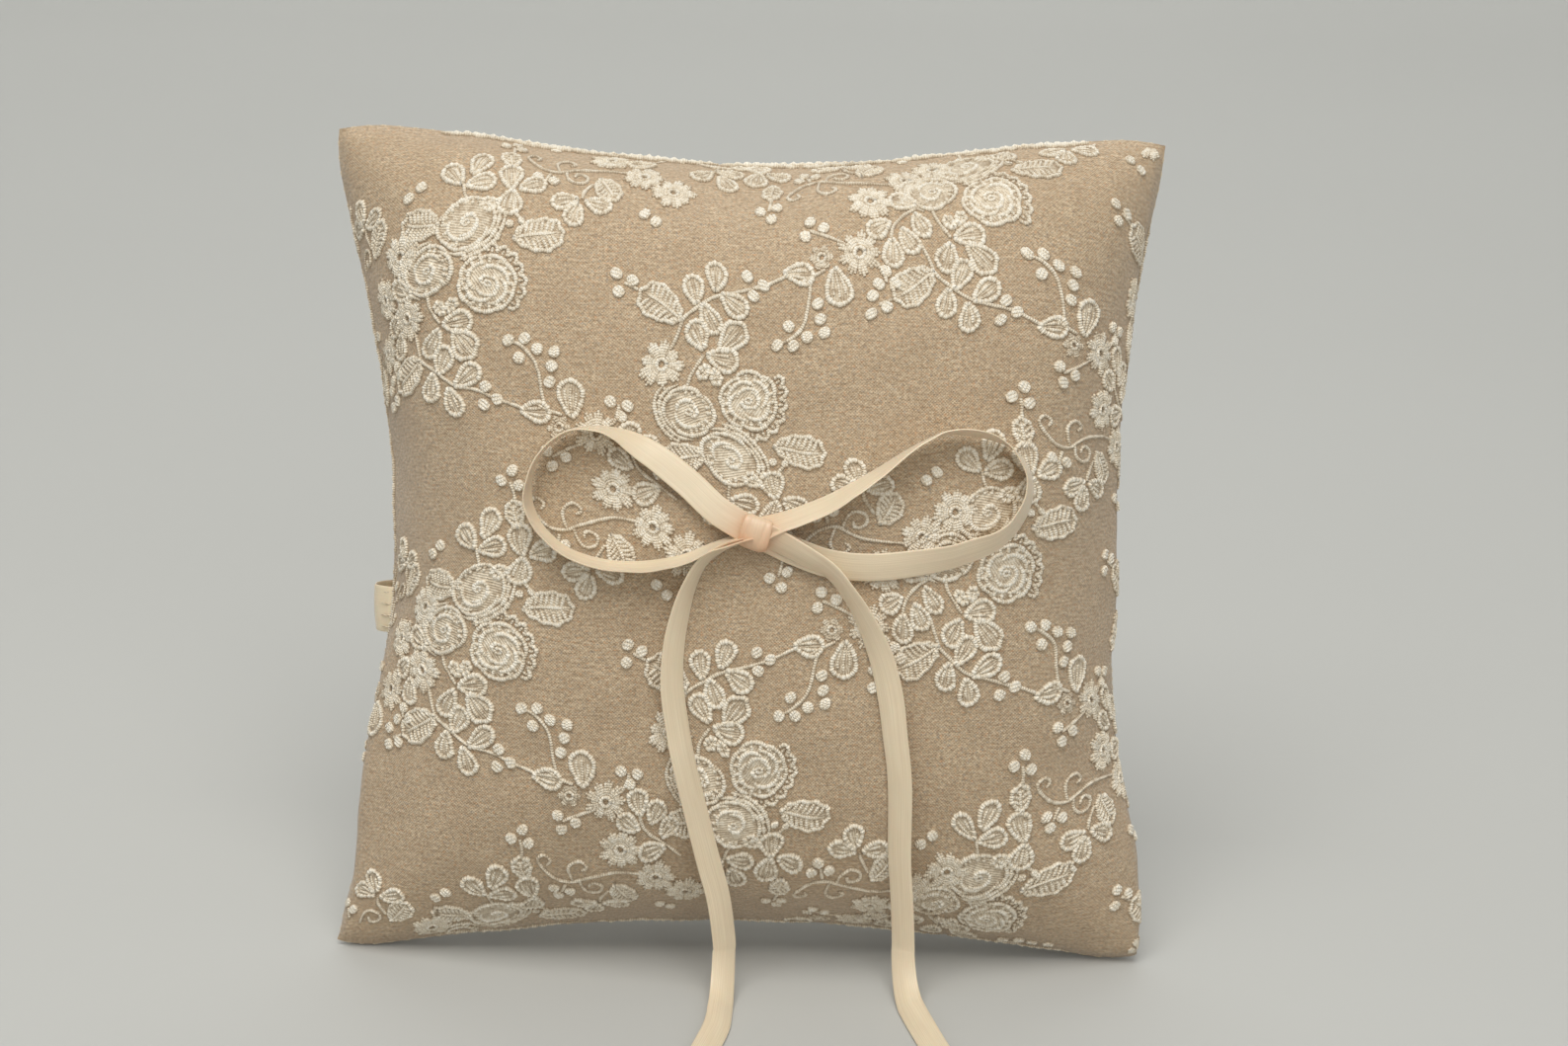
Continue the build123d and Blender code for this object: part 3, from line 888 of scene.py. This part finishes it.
def repeat_unit():
    """One repeat of the lace, as elements about its rose.

    Places and sizes are millimetres of flat cloth, across and then up; directions are degrees.
    """
    petals = (
        (-8.2, 22.4, 130, 5.0, 3.8), (-3.4, 25.2, 72, 5.4, 3.8), (-2.4, 20.4, 8, 5.0, 3.6),
        (3.4, 22.4, 100, 5.6, 4.4), (8.2, 20.4, 22, 4.8, 3.8), (3.8, 16.2, -95, 4.6, 4.6),
        (-0.2, 15.6, 200, 3.0, 2.4), (-6.0, -7.4, 10, 5.4, 4.2), (-11.4, -11.4, -112, 5.2, 4.0),
        (-9.6, -4.6, 120, 2.4, 1.8), (-7.2, -4.0, 60, 2.4, 1.8), (-12.1, -20.1, -95, 4.8, 3.6),
        (-7.3, -22.9, -80, 4.8, 3.6), (-9.1, -14.8, 60, 5.2, 3.8), (-4.1, -18.0, 35, 5.4, 3.8),
        (17.2, -21.6, 92, 6.4, 4.8), (28.8, -28.2, 95, 4.8, 3.8), (26.6, -33.0, 150, 4.6, 3.4),
        (32.4, -30.6, 70, 4.6, 3.6), (35.2, -34.0, 60, 4.6, 3.4), (31.8, -39.4, 200, 5.0, 4.0),
        (16.7, -55.8, 190, 4.8, 3.2), (23.7, -55.8, -15, 4.8, 3.4), (19.0, -58.5, -105, 4.4, 3.6),
        (9.7, -24.5, 0, 5.2, 3.8), (-4.6, -11.6, -48, 6.0, 4.8, True),
    )
    berries = (
        (-27.3, -23.1), (-24.3, -21.9), (-27.3, -19.6), (-0.9, -23.5), (2.1, -22.2), (-0.2, -19.9),
        (12.9, -18.7), (13.4, -15.7), (14.1, -13.0), (10.6, -12.5), (6.9, -14.4), (4.6, -10.9),
        (7.9, -10.7), (25.2, -21.8), (28.6, -22.3), (27.0, -24.4), (11.6, -32.0), (15.4, -33.2),
        (12.6, -35.0), (2.0, -38.2), (4.4, -36.2), (5.6, -39.2), (10.7, -50.0), (14.2, -50.8),
        (11.7, -52.5), (33.4, -57.6), (35.8, -59.4), (6.6, 12.0, 0.8), (4.2, 11.6, 0.9),
    )
    daisies = (
        (-18.2, -5.6, 4.5), (22.0, -28.0, 4.2), (25.0, -39.0, 4.6), (32.8, -46.2, 4.6),
        (39.4, -51.4, 4.6), (14.4, -27.4, 2.6),
    )
    leaves = (
        (10.2, 9.4, 8, 10.6, 7.6), (-14.2, 12.4, 170, 8.6, 7.4), (-18.8, -17.2, 215, 10.2, 8.0),
        (4.4, -45.0, 100, 5.6, 4.6, 4, 4), (25.6, -51.4, -60, 7.6, 6.0, 4, 6),
    )
    stems = (
        ((-5.8, 20.2), (-5.5, 18.2), (-4.6, 15.6)),
        ((4.6, 19.0), (4.6, 14.6), (6.4, 12.4), (7.2, 11.4)),
        ((-12.6, -0.6), (-12.2, -3.6), (-10.6, -6.4), (-9.8, -7.6)),
        ((-26.0, -21.4), (-24.6, -20.8), (-23.4, -20.2)),
        ((-18.0, -7.4), (-16.5, -8.8), (-15.1, -13.0), (-14.2, -14.8), (-11.9, -16.4), (-7.3, -19.4),
         (-1.8, -20.8), (3.3, -22.6), (7.0, -24.0)),
        ((12.0, -24.0), (11.5, -21.7), (10.2, -15.3), (7.4, -12.1), (5.0, -11.2)),
        ((25.4, -26.0), (26.6, -23.6), (26.8, -22.2)),
        ((19.0, -30.0), (15.8, -31.6), (12.6, -33.2)),
        ((28.8, -30.8), (29.6, -33.6), (31.8, -36.0), (34.8, -38.0), (38.0, -40.4)),
        ((29.1, -45.0), (25.1, -44.7), (21.0, -45.3), (17.6, -46.5), (14.9, -47.7), (12.2, -47.5),
         (10.2, -46.3), (8.5, -44.3), (7.8, -42.6), (9.0, -41.6), (10.4, -42.6), (9.8, -43.8)),
        ((14.9, -47.4), (14.2, -44.3), (15.3, -42.6), (16.9, -42.3), (18.1, -43.5), (17.0, -44.4)),
        ((16.3, -47.0), (16.9, -49.4), (18.6, -50.7), (20.7, -50.1), (21.0, -48.4), (19.6, -47.5),
         (18.5, -47.9), (18.3, -48.9)),
        ((4.4, -42.6), (4.2, -40.2), (3.8, -38.4)),
        ((13.2, -48.6), (12.8, -49.9), (12.4, -51.2)),
        ((22.4, -50.2), (20.7, -53.0), (20.3, -54.8)),
        ((9.7, -22.6), (10.6, -23.2), (12.0, -24.0), (15.0, -25.0)),
    )
    return [
        rose(0, 0, 6.3),
        bud(-12.2, 3.2, 5.3, 4.6, 20, 0.4, 2.6),
        bud(-4.6, 11.8, 6.0, 4.8, 28, 2.0, -1.1),
        *(petal(*row) for row in petals),
        *(berry(*row) for row in berries),
        *(daisy(*row) for row in daisies),
        *(leaf(*row) for row in leaves),
        *(stem(row) for row in stems),
    ]


def pressed(inward):
    """How high the lace stands near the seams, which press it flat."""
    return np.clip(0.35 + 0.65 * (inward - 1.5) / 4, 0.35, 1)


def embroider(sheet, node, offset, limit=90.4):
    """Lays the repeat over a sheet of cloth, leaving out what would land on another repeat."""
    # The repeats stand on a slanting lattice, with an upside-down copy between each two.
    origin = np.array([-53.8, 51.4]) + offset
    across, down = np.array([104.5, 19.0]), np.array([1.8, -72.8])
    turned_copy = np.array([53.6, -20.2])
    bits = {name: Bits() for name in ("flowers", "leaves", "petals", "sprays")}
    spots = []
    for i in range(-1, 3):
        for j in range(-2, 4):
            spot = origin + i * across + j * down
            spots += [(spot, 1), (spot + turned_copy, -1)]
    spots.sort(key=lambda spot: abs(spot[0][0]) + abs(spot[0][1]))
    unit_parts = repeat_unit()
    placed = []
    for k, (spot, flip) in enumerate(spots):
        if np.abs(spot).max() > CLOTH_HALF + 62:
            continue
        sway = rng.uniform(0, 6, 4)
        for element in unit_parts:
            centre = spot + element.centre * (1, flip)
            if np.abs(centre).max() > limit + 2:
                continue
            if element.kind != "stems":
                others = [(c, r) for owner, c, r in placed if owner != k]
                if any(np.hypot(*(c - centre)) < 0.62 * (r + element.reach) for c, r in others):
                    continue
                placed.append((k, centre, element.reach))
            target = bits["sprays" if element.kind in ("berries", "stems") else element.kind]
            for points, faces, stitch in element.solids:
                p = points.copy()
                p[:, :2] = spot + p[:, :2] * (1, flip)
                p[:, 0] += 0.3 * np.sin(p[:, 1] / 5 + sway[0]) + 0.12 * np.sin(p[:, 1] / 1.3 + sway[1])
                p[:, 1] += 0.3 * np.sin(p[:, 0] / 6 + sway[2]) + 0.12 * np.sin(p[:, 0] / 1.4 + sway[3])
                if np.abs(p[:, :2]).max() > limit:
                    if element.kind == "stems" or np.abs(p[:, :2].mean(0)).max() > limit - 0.6:
                        continue
                    p[:, :2] = np.clip(p[:, :2], -limit, limit)
                target.add(p, [f[::flip] for f in faces], stitch)
    for name, made in bits.items():
        made.as_lace(f"{sheet.side}_lace_{name}", node, sheet, pressed)


embroider(FRONT, "front_lace", (0.0, 0.0))
embroider(BACK, "back_lace", (21.0, -14.0))


# ---- seams and stitches


def seam_point(side, along, inset, depth=0.0):
    """A place on a seam, in upright millimetres."""
    reach = (outline(side, along) - inset) / HALF
    run = (1 - inset / HALF) * along
    sign = -1 if side in ("left", "bottom") else 1
    across, up, blunt = run, sign * reach, bluntness(run, sign)
    if side in ("left", "right"):
        across, up, blunt = sign * reach, run, bluntness(sign, run)
    shrink = HALF * (1 - blunt)
    return (across * shrink, depth, HALF + up * shrink)


def rod(path, radius, sides=6):
    """A round thread along points in space, drawn in at its ends."""
    path = np.asarray(path, float)
    along = unit(np.gradient(path, axis=0))
    guide = np.where(np.abs(along[:, [2]]) > 0.8, [[1.0, 0, 0]], [[0, 0, 1.0]])
    across = unit(np.cross(along, guide))
    up = np.cross(across, along)
    k = np.linspace(0, 1, len(path))
    size = radius * (0.55 + 0.45 * np.sqrt(np.sin(math.pi * k).clip(0)))
    angle = np.arange(sides) * math.tau / sides
    ring = np.cos(angle)[None, :, None] * across[:, None] + np.sin(angle)[None, :, None] * up[:, None]
    points = (path[:, None] + ring * size[:, None, None]).reshape(-1, 3)
    return points, tube_faces(len(path), sides)


def seam_thread():
    """Machine stitches along the four seams, but for the gap at the bottom."""
    made = Bits()
    pitch, stitch_length = 3.2, 2.3
    gap_half = 30
    count = int(2 * HALF / pitch) - 5
    dip = 0.22 * (1 - np.cos(np.linspace(0, math.tau, 5))) / 2
    for side in SEAM_DRAW:
        for k in range(count):
            middle = -1 + 2 * (k + 1) / (count + 1)
            if side == "bottom" and abs(middle) * HALF < gap_half:
                continue
            ends = middle + np.linspace(-0.5, 0.5, 5) * stitch_length / HALF
            made.add(*rod([seam_point(side, e, 0.28 - d) for e, d in zip(ends, dip)], 0.2))
    made.as_thread("seam_thread", "seam_stitches")


def closing_thread():
    """Hand stitches that lean over the gap in the bottom seam."""
    made = Bits()
    pitch, count = 3.0, 20
    for k in range(count):
        middle = k - (count - 1) / 2
        path = []
        for d in np.linspace(-1, 1, 7):
            along = (middle + 0.25 * d) * pitch / HALF
            path.append(seam_point("bottom", along, 0.3 + 0.55 * d**2, 0.95 * d))
        made.add(*rod(path, 0.22))
    made.as_thread("closing_thread", "closing_stitches")


def lace_edging(sheet, node):
    """The edge of the lace, caught in the seams as an uneven ridge that stops short of the corners."""
    made = Bits()
    reach = CLOTH_HALF - 1.2
    top, bottom = (False, 1, 0.78, 0.5), (False, -1, 0.42, 5.0)
    left, right = (True, -1, 0.42, 6.0), (True, 1, 0.42, 6.0)
    for upwards, sign, size, gap in (top, bottom, left, right):
        start = -68.0
        while start < 66:
            run = rng.uniform(12, 34)
            along = np.arange(start, min(start + run, 74), 1.3)
            if len(along) < 4:
                break
            waver = 0.3 * np.sin(along / 3.1 + sign) + rng.uniform(-0.25, 0.25, len(along))
            path = np.stack([along, sign * (reach + waver)], -1)
            made.add(*cord(path[:, ::-1] if upwards else path, size, steps=2, beads=0.25))
            start += run + rng.uniform(0.2, gap)
    made.as_lace(f"{sheet.side}_lace_edging", node, sheet)


seam_thread()
closing_thread()
lace_edging(FRONT, "front_lace")
lace_edging(BACK, "back_lace")


# ---- ribbon

RIBBON_WIDTH = 6.0
RIBBON_THICK = 0.34
# The ribbon's section: places across it, and its thickness there, both as shares.
SECTION_SHARE = np.array([-1, -0.97, -0.9, -0.8, -0.5, 0, 0.5, 0.8, 0.9, 0.97, 1])
SECTION_THICK = np.array([0.35, 0.8, 1.0, 0.72, 0.72, 0.72, 0.72, 0.72, 1.0, 0.8, 0.35])


def swept(points, normals, twists, width, thick, cup):
    """A ribbon with soft selvedges. Returns points, faces and (along, across, 0) in millimetres."""
    along = unit(np.gradient(points, axis=0))
    flat = unit(np.cross(normals, along))
    turn = np.radians(twists)[:, None]
    across = flat * np.cos(turn) + np.cross(along, flat) * np.sin(turn)
    out = unit(np.cross(along, across))
    profile = SECTION_THICK * thick / 2
    bow = cup * (1 - SECTION_SHARE**2)
    chord = width * (1 - 8 / 3 * (cup / width) ** 2)
    section_x = np.concatenate([SECTION_SHARE, SECTION_SHARE[::-1]]) * chord / 2
    section_y = np.concatenate([bow + profile, bow[::-1] - profile[::-1]])
    rows = points[:, None] + across[:, None] * section_x[:, None] + out[:, None] * section_y[:, None]
    length = np.concatenate([[0], np.cumsum(np.linalg.norm(np.diff(points, axis=0), axis=1))])
    place = np.zeros(rows.shape)
    place[..., 0] = length[:, None]
    place[..., 1] = section_x
    return rows.reshape(-1, 3), tube_faces(len(points), len(section_x)), place.reshape(-1, 3)


def laid(rows, steps=8):
    """Points, normals and twists of a ribbon laid over the front, from (x, z, lift, twist) off the knot."""
    rows = smoothed(rows, steps)
    points, normals = [], []
    for x, z, lift, _ in rows:
        s, t = FRONT.find(KNOT[0] + x, KNOT[2] + z)
        points.append(FRONT.raised(np.array(s), np.array(t), np.array(lift)))
        normals.append(FRONT.normal(np.array(s), np.array(t)))
    return np.array(points), np.array(normals), rows[:, 3]


# Rows of (x, z, lift, twist): millimetres off the knot, height off the lace, and degrees.
LEFT_LOOP = (
    (-1.2, 0.6, 2.3, 8), (-4.0, 2.2, 2.5, 8), (-8.7, 5.2, 2.4, 8), (-15.4, 11.0, 2.5, 12),
    (-22.4, 16.3, 3.2, 34), (-29.6, 19.8, 3.9, 70), (-35.9, 20.4, 4.0, 87), (-41.6, 17.5, 4.0, 88),
    (-45.2, 12.2, 4.0, 86), (-45.7, 5.7, 4.0, 88), (-43.4, 0, 4.0, 93), (-38.2, -4.6, 4.0, 98),
    (-30.7, -6.9, 4.0, 102), (-23.1, -7.1, 4.0, 104), (-15.4, -5.8, 4.0, 105), (-8.7, -3.2, 3.9, 105),
    (-4.0, -1.2, 3.7, 104), (-1.2, -0.3, 3.3, 104),
)
RIGHT_LOOP = (
    (1.2, 0.8, 2.9, -36), (4.4, 1.9, 3.3, -48), (8.7, 3.5, 3.5, -53), (16.4, 7.0, 3.7, -58),
    (24.1, 12.3, 3.9, -76), (32.8, 18.3, 4.1, -90), (39.6, 21.0, 4.1, -98), (46.3, 20.3, 4.1, -98),
    (52.1, 16.9, 4.1, -72), (55.0, 10.8, 4.0, -52), (53.6, 4.4, 3.9, -44), (48.7, -1, 3.7, -38),
    (41.5, -3.9, 3.2, -28), (32.8, -5.8, 2.6, -18), (24.1, -6.8, 2.1, -12), (15.4, -6.2, 1.7, -10),
    (8.7, -3.9, 1.7, -8), (4.0, -1.8, 1.8, -6), (1.2, -0.6, 2.0, -4),
)


def painted_knot_shade(points, reach=6.5, strength=0.85):
    """How much of the painted warm shade and glow round the knot each point gets."""
    distance = np.linalg.norm(points - KNOT - (0, -1.0, 0), axis=1)
    return strength * np.exp(-((distance / reach) ** 2))


def loop(side, rows):
    """One loop of the bow, standing for its base and loop nodes."""
    points, faces, flat = swept(*laid(rows), RIBBON_WIDTH, RIBBON_THICK, 0.3)
    # The third place channel carries the painted warm shade and glow near the knot.
    flat[:, 2] = painted_knot_shade(points)
    nodes = [f"{side}_loop_base", f"{side}_loop"]
    piece = add_piece(f"{side}_loop_ribbon", points, faces, nodes, RIBBON, body=None, flat=flat)
    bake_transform(piece)


loop("left", LEFT_LOOP)
loop("right", RIGHT_LOOP)


def tail(drape, hang, run, floor=0.3):
    """A tail: over the front, down off the belly, and out over the table.

    Its rows hold a place, a normal and a twist, in upright millimetres and degrees.
    """
    points, normals, twists = laid(drape, 10)
    belly = world(points[-1])[1] / MM - 0.3
    c, s = math.cos(LEAN), math.sin(LEAN)
    rows = [(*points[k], *normals[k], twists[k]) for k in range(0, len(points), 10)]

    def lay(x, y, z, angle, twist):
        """Adds a row at a table-frame place, its face turned up from the front by an angle."""
        y_face, z_face = -math.cos(angle), math.sin(angle)
        face = (0, y_face * c - z_face * s, y_face * s + z_face * c)
        rows.append((*upright(np.array((x, y, z)) * MM), *face, twist))

    last_twist = twists[-1]
    for x, height in hang:
        lay(x, belly, height, 0, last_twist)
    rest = floor + RIBBON_WIDTH / 2 * math.sin(math.radians(abs(last_twist) * 0.75))
    x_down, bend = hang[-1][0], hang[-1][1] - rest
    for k in np.arange(1, 7) / 6:
        turn = k * math.pi / 2
        x = x_down + (run[0][0] - x_down) * 0.45 * k**2
        y = belly - bend * (1 - math.cos(turn))
        lay(x, y, rest + bend * (1 - math.sin(turn)), turn, last_twist * (1 - 0.25 * k))
    for k, (x, y) in enumerate(run):
        twist = last_twist * 0.75 * (1 - (k + 1) / len(run))
        lift = RIBBON_WIDTH / 2 * math.sin(math.radians(abs(twist)))
        lay(x, y, floor + lift, math.pi / 2, twist)
    return smoothed(rows, 10)


# Rows of (x, z, lift, twist) over the front, (x, height) down to the table, and (x, y) along it.
LEFT_TAIL = tail(
    ((-2.4, -1.4, 3.2, -78), (-6.0, -2.8, 3.2, -76), (-10.4, -6.0, 3.1, -70), (-13.0, -10.4, 3.0, -62),
     (-14.6, -15.5, 2.9, -54), (-16.0, -23.5, 2.8, -46), (-16.3, -31.5, 2.7, -40), (-15.2, -40.5, 2.6, -36),
     (-13.6, -49.0, 2.5, -34)),
    ((-6.8, 32), (-4.2, 22), (-2.8, 12)),
    ((-4.0, -36), (-6.4, -46), (-9.4, -57), (-13.0, -70), (-17, -84)),
)
RIGHT_TAIL = tail(
    ((2.4, -0.4, 3.4, 30), (6.2, -2.2, 3.8, 34), (11.0, -4.8, 4.3, 42), (15.4, -7.6, 4.2, 56),
     (18.9, -11.4, 3.8, 58), (22.5, -17.0, 3.1, 50), (26.0, -25.0, 2.5, 36), (28.2, -33.5, 2.4, 30),
     (29.6, -42.0, 2.4, 32), (30.9, -52.0, 2.4, 34)),
    ((33.6, 32), (34.4, 22), (35.0, 12)),
    ((39.0, -36), (41.8, -46), (45.2, -56), (49, -68), (53, -80)),
)


def tail_pieces(side, rows, split_height=55.0):
    """A tail's upper and lower pieces, cut where the tail drops below a height."""
    points, normals, twists = rows[:, :3], unit(rows[:, 3:6]), rows[:, 6]
    cut = int(np.argmax(world(points)[:, 2] / MM < split_height))
    made, _, flat = swept(points, normals, twists, RIBBON_WIDTH - 0.2, RIBBON_THICK, 0.55)
    # The third place channel carries the painted warm shade and glow near the knot.
    flat[:, 2] = painted_knot_shade(made)
    count = len(made) // len(points)
    for k, (part, low, high) in enumerate((("upper", 0, cut + 1), ("lower", cut, len(points)))):
        some = slice(low * count, high * count)
        name = f"{side}_tail_{part}"
        faces = tube_faces(high - low, count)
        piece = add_piece(name + "_ribbon", made[some], faces, [name], RIBBON, body=None, flat=flat[some])
        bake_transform(piece)


tail_pieces("left", LEFT_TAIL)
tail_pieces("right", RIGHT_TAIL)


def knot():
    """The ribbon wrapped once over the bow's middle, drawn in along its edges."""
    low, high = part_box("bow_knot")
    width, depth, height = (high.x - low.x) / MM - 0.9, 4.6, 7.0
    across = [-0.9, -0.97, *np.linspace(-1, 1, 23), 0.97, 0.9]
    inside = [0.86, 0.97] + [1.0] * 23 + [0.97, 0.86]
    round_it = np.arange(64) * math.tau / 64
    points, flat = [], []
    tilt = math.radians(-15)
    for u, share in zip(across, inside):
        lip = share * (1 - 0.05 * abs(u) ** 4 - 0.07 * abs(u) ** 14)
        for a in round_it:
            ca, sa = math.cos(a), math.sin(a)
            x = u * width / 2 * (0.95 + 0.07 * ca - 0.06 * sa)
            y = -depth / 2 * lip * math.copysign(abs(ca) ** 0.72, ca)
            z = height / 2 * lip * math.copysign(abs(sa) ** 0.8, sa)
            crease = 0.16 * math.exp(-(((u - 0.45 - 0.25 * sa) / 0.12) ** 2))
            crease += 0.1 * math.exp(-(((u + 0.55 - 0.1 * sa) / 0.1) ** 2))
            y += crease * ca
            z += 0.25 * u * u - 0.1 * math.sin(3 * u)
            x, z = x * math.cos(tilt) - z * math.sin(tilt), x * math.sin(tilt) + z * math.cos(tilt)
            points.append(KNOT + (x, y, z))
            # The third place channel paints warm shade on the knot: most on its lower side and edges, least
            # on its lit top.
            flat.append((a * 3.0, u * width / 2, 0.62 - 0.3 * sa + 0.3 * u * u))
    faces = tube_faces(len(across), len(round_it))
    add_piece("knot_wrap", points, faces, ["bow_knot"], RIBBON, flat=flat)


knot()


# ---- strap

STRAP_WIDTH = 10.0
STRAP_CUP = 0.35


def strap():
    """The satin hand strap, from seam to seam across the back."""
    low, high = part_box("hand_strap")
    height = upright((low + high) / 2)[2]
    along = height / HALF - 1
    left, right = outline("left", along), outline("right", along)
    deep = upright((0, high.y, (low.z + high.z) / 2))[1] - 0.9
    rows = (
        (-left + 1.2, -0.4, 0), (-left - 1.0, 0.3, 0), (-left - 3.9, 4.6, 0), (-left - 1.0, 13.0, 0),
        (-HALF + 31, 26.5, 0), (-30, deep - 1, 0), (0, deep, 0), (30, deep - 1, 0), (right - 20, 26.5, 0),
        (right - 2.4, 12.5, 0), (right + 0.6, 4.6, 0), (right + 0.3, 0.3, 0), (right - 1.2, -0.4, 0),
    )
    rows = smoothed(rows, 12)
    points = np.stack([rows[:, 0], rows[:, 1], np.full(len(rows), height)], -1)
    points[:, 2] += 0.8 * np.sin(points[:, 0] / 26 + 0.7)
    normals = unit(np.cross((0, 0, 1.0), unit(np.gradient(points, axis=0))))
    twists = 5 * np.sin(points[:, 0] / 31)
    made, faces, flat = swept(points, normals, twists, STRAP_WIDTH, 0.4, STRAP_CUP)
    add_piece("strap_band", made, faces, ["hand_strap"], STRAP, flat=flat)
    return points, normals


def strap_thread(points, normals):
    """Short stitches over both ends of the strap, where it is caught in the side seams."""
    made = Bits()
    lifts = np.array([0.1, 0.24, 0.3, 0.24, 0.1])
    for end in (slice(8, 17, 2), slice(-18, -9, 2)):
        for share in (-0.75, -0.25, 0.25, 0.75):
            lift = lifts + STRAP_CUP * (1 - share**2)
            path = points[end] + normals[end] * lift[:, None] + [0, 0, share * STRAP_WIDTH / 2]
            made.add(*rod(path, 0.18))
    made.as_thread("strap_thread", "strap_stitches")


strap_thread(*strap())
tack = frame["nodes"]["bow_tack_thread"].data.materials
tack.clear()
tack.append(THREAD)


# ---- floor, light and camera


def floor():
    """A plain pale sweep: flat under the pillow and curving up behind it."""
    side, near, far, bend, top = 9.0, -6.0, 0.9, 0.5, 3.0
    profile = [(near, 0.0)]
    for k in range(9):
        turn = math.radians(90 * k / 8)
        profile.append((far + bend * math.sin(turn), bend * (1 - math.cos(turn))))
    profile.append((far + bend, top))
    points = [(x, y, z) for y, z in profile for x in (-side, side)]
    faces = [(2 * k, 2 * k + 1, 2 * k + 3, 2 * k + 2) for k in range(len(profile) - 1)]
    mesh = bpy.data.meshes.new("floor")
    mesh.from_pydata(points, [], faces)
    mesh.polygons.foreach_set("use_smooth", [True] * len(faces))
    made = bpy.data.objects.new("floor", mesh)
    bpy.context.scene.collection.objects.link(made)
    m = Nodes("studio_paper")
    cloud = m.noise(m.place(), 3.0)
    colour = m.mix(cloud, tone(182, 182, 177), tone(188, 188, 183))
    mesh.materials.append(m.finish(colour, 0.6, cloud, 0.2 * MM, 0.0, 0.1))


def lamp(name, place, aim, size, power, colour):
    light = bpy.data.lights.new(name, "AREA")
    light.shape = "RECTANGLE"
    light.size, light.size_y = size
    light.energy = power
    light.color = colour
    made = bpy.data.objects.new(name, light)
    bpy.context.scene.collection.objects.link(made)
    made.location = place
    made.rotation_euler = (Vector(aim) - Vector(place)).to_track_quat("-Z", "Y").to_euler()


def surroundings(strength):
    """A faint cool light from all round."""
    made = bpy.data.worlds.new("studio")
    made.use_nodes = True
    back = made.node_tree.nodes["Background"]
    back.inputs["Color"].default_value = (0.93, 0.96, 1.0, 1.0)
    back.inputs["Strength"].default_value = strength
    bpy.context.scene.world = made


floor()
surroundings(0.42)
lamp("overhead", (-0.1, -0.45, 1.25), (0, 0, 0.06), (1.0, 0.8), 12.0, (1.0, 0.98, 0.95))
lamp("backdrop", (0, 0.95, 1.1), (0, 0.8, 0), (1.6, 0.6), 6.0, (1.0, 1.0, 0.99))
lamp("front_fill", (0.3, -1.5, 0.9), (0, 0, 0.08), (1.2, 0.9), 4.4, (1.0, 0.98, 0.95))

CAMERA_DISTANCE = 0.794
CAMERA_RISE = math.radians(20.7)
CAMERA_ROLL = math.radians(1.1)
FOCAL = 85.0
SENSOR_WIDTH = 36.0
AIM_ACROSS = math.radians(0.596)
AIM_UP = math.radians(0.405)

camera = bpy.data.objects.new("camera", bpy.data.cameras.new("camera"))
camera.data.lens = FOCAL
camera.data.sensor_width = SENSOR_WIDTH
bpy.context.scene.collection.objects.link(camera)
target = Vector(world((0, 0, HALF)))
back_way = Vector((0, -math.cos(CAMERA_RISE), math.sin(CAMERA_RISE)))
camera.location = target + back_way * CAMERA_DISTANCE
facing = (-back_way).to_track_quat("-Z", "Y").to_matrix()
for angle, axis in ((-AIM_ACROSS, "Y"), (AIM_UP, "X"), (CAMERA_ROLL, "Z")):
    facing = facing @ Matrix.Rotation(angle, 3, axis)
camera.rotation_euler = facing.to_euler()
bpy.context.scene.camera = camera
bpy.context.scene.view_settings.view_transform = "Standard"
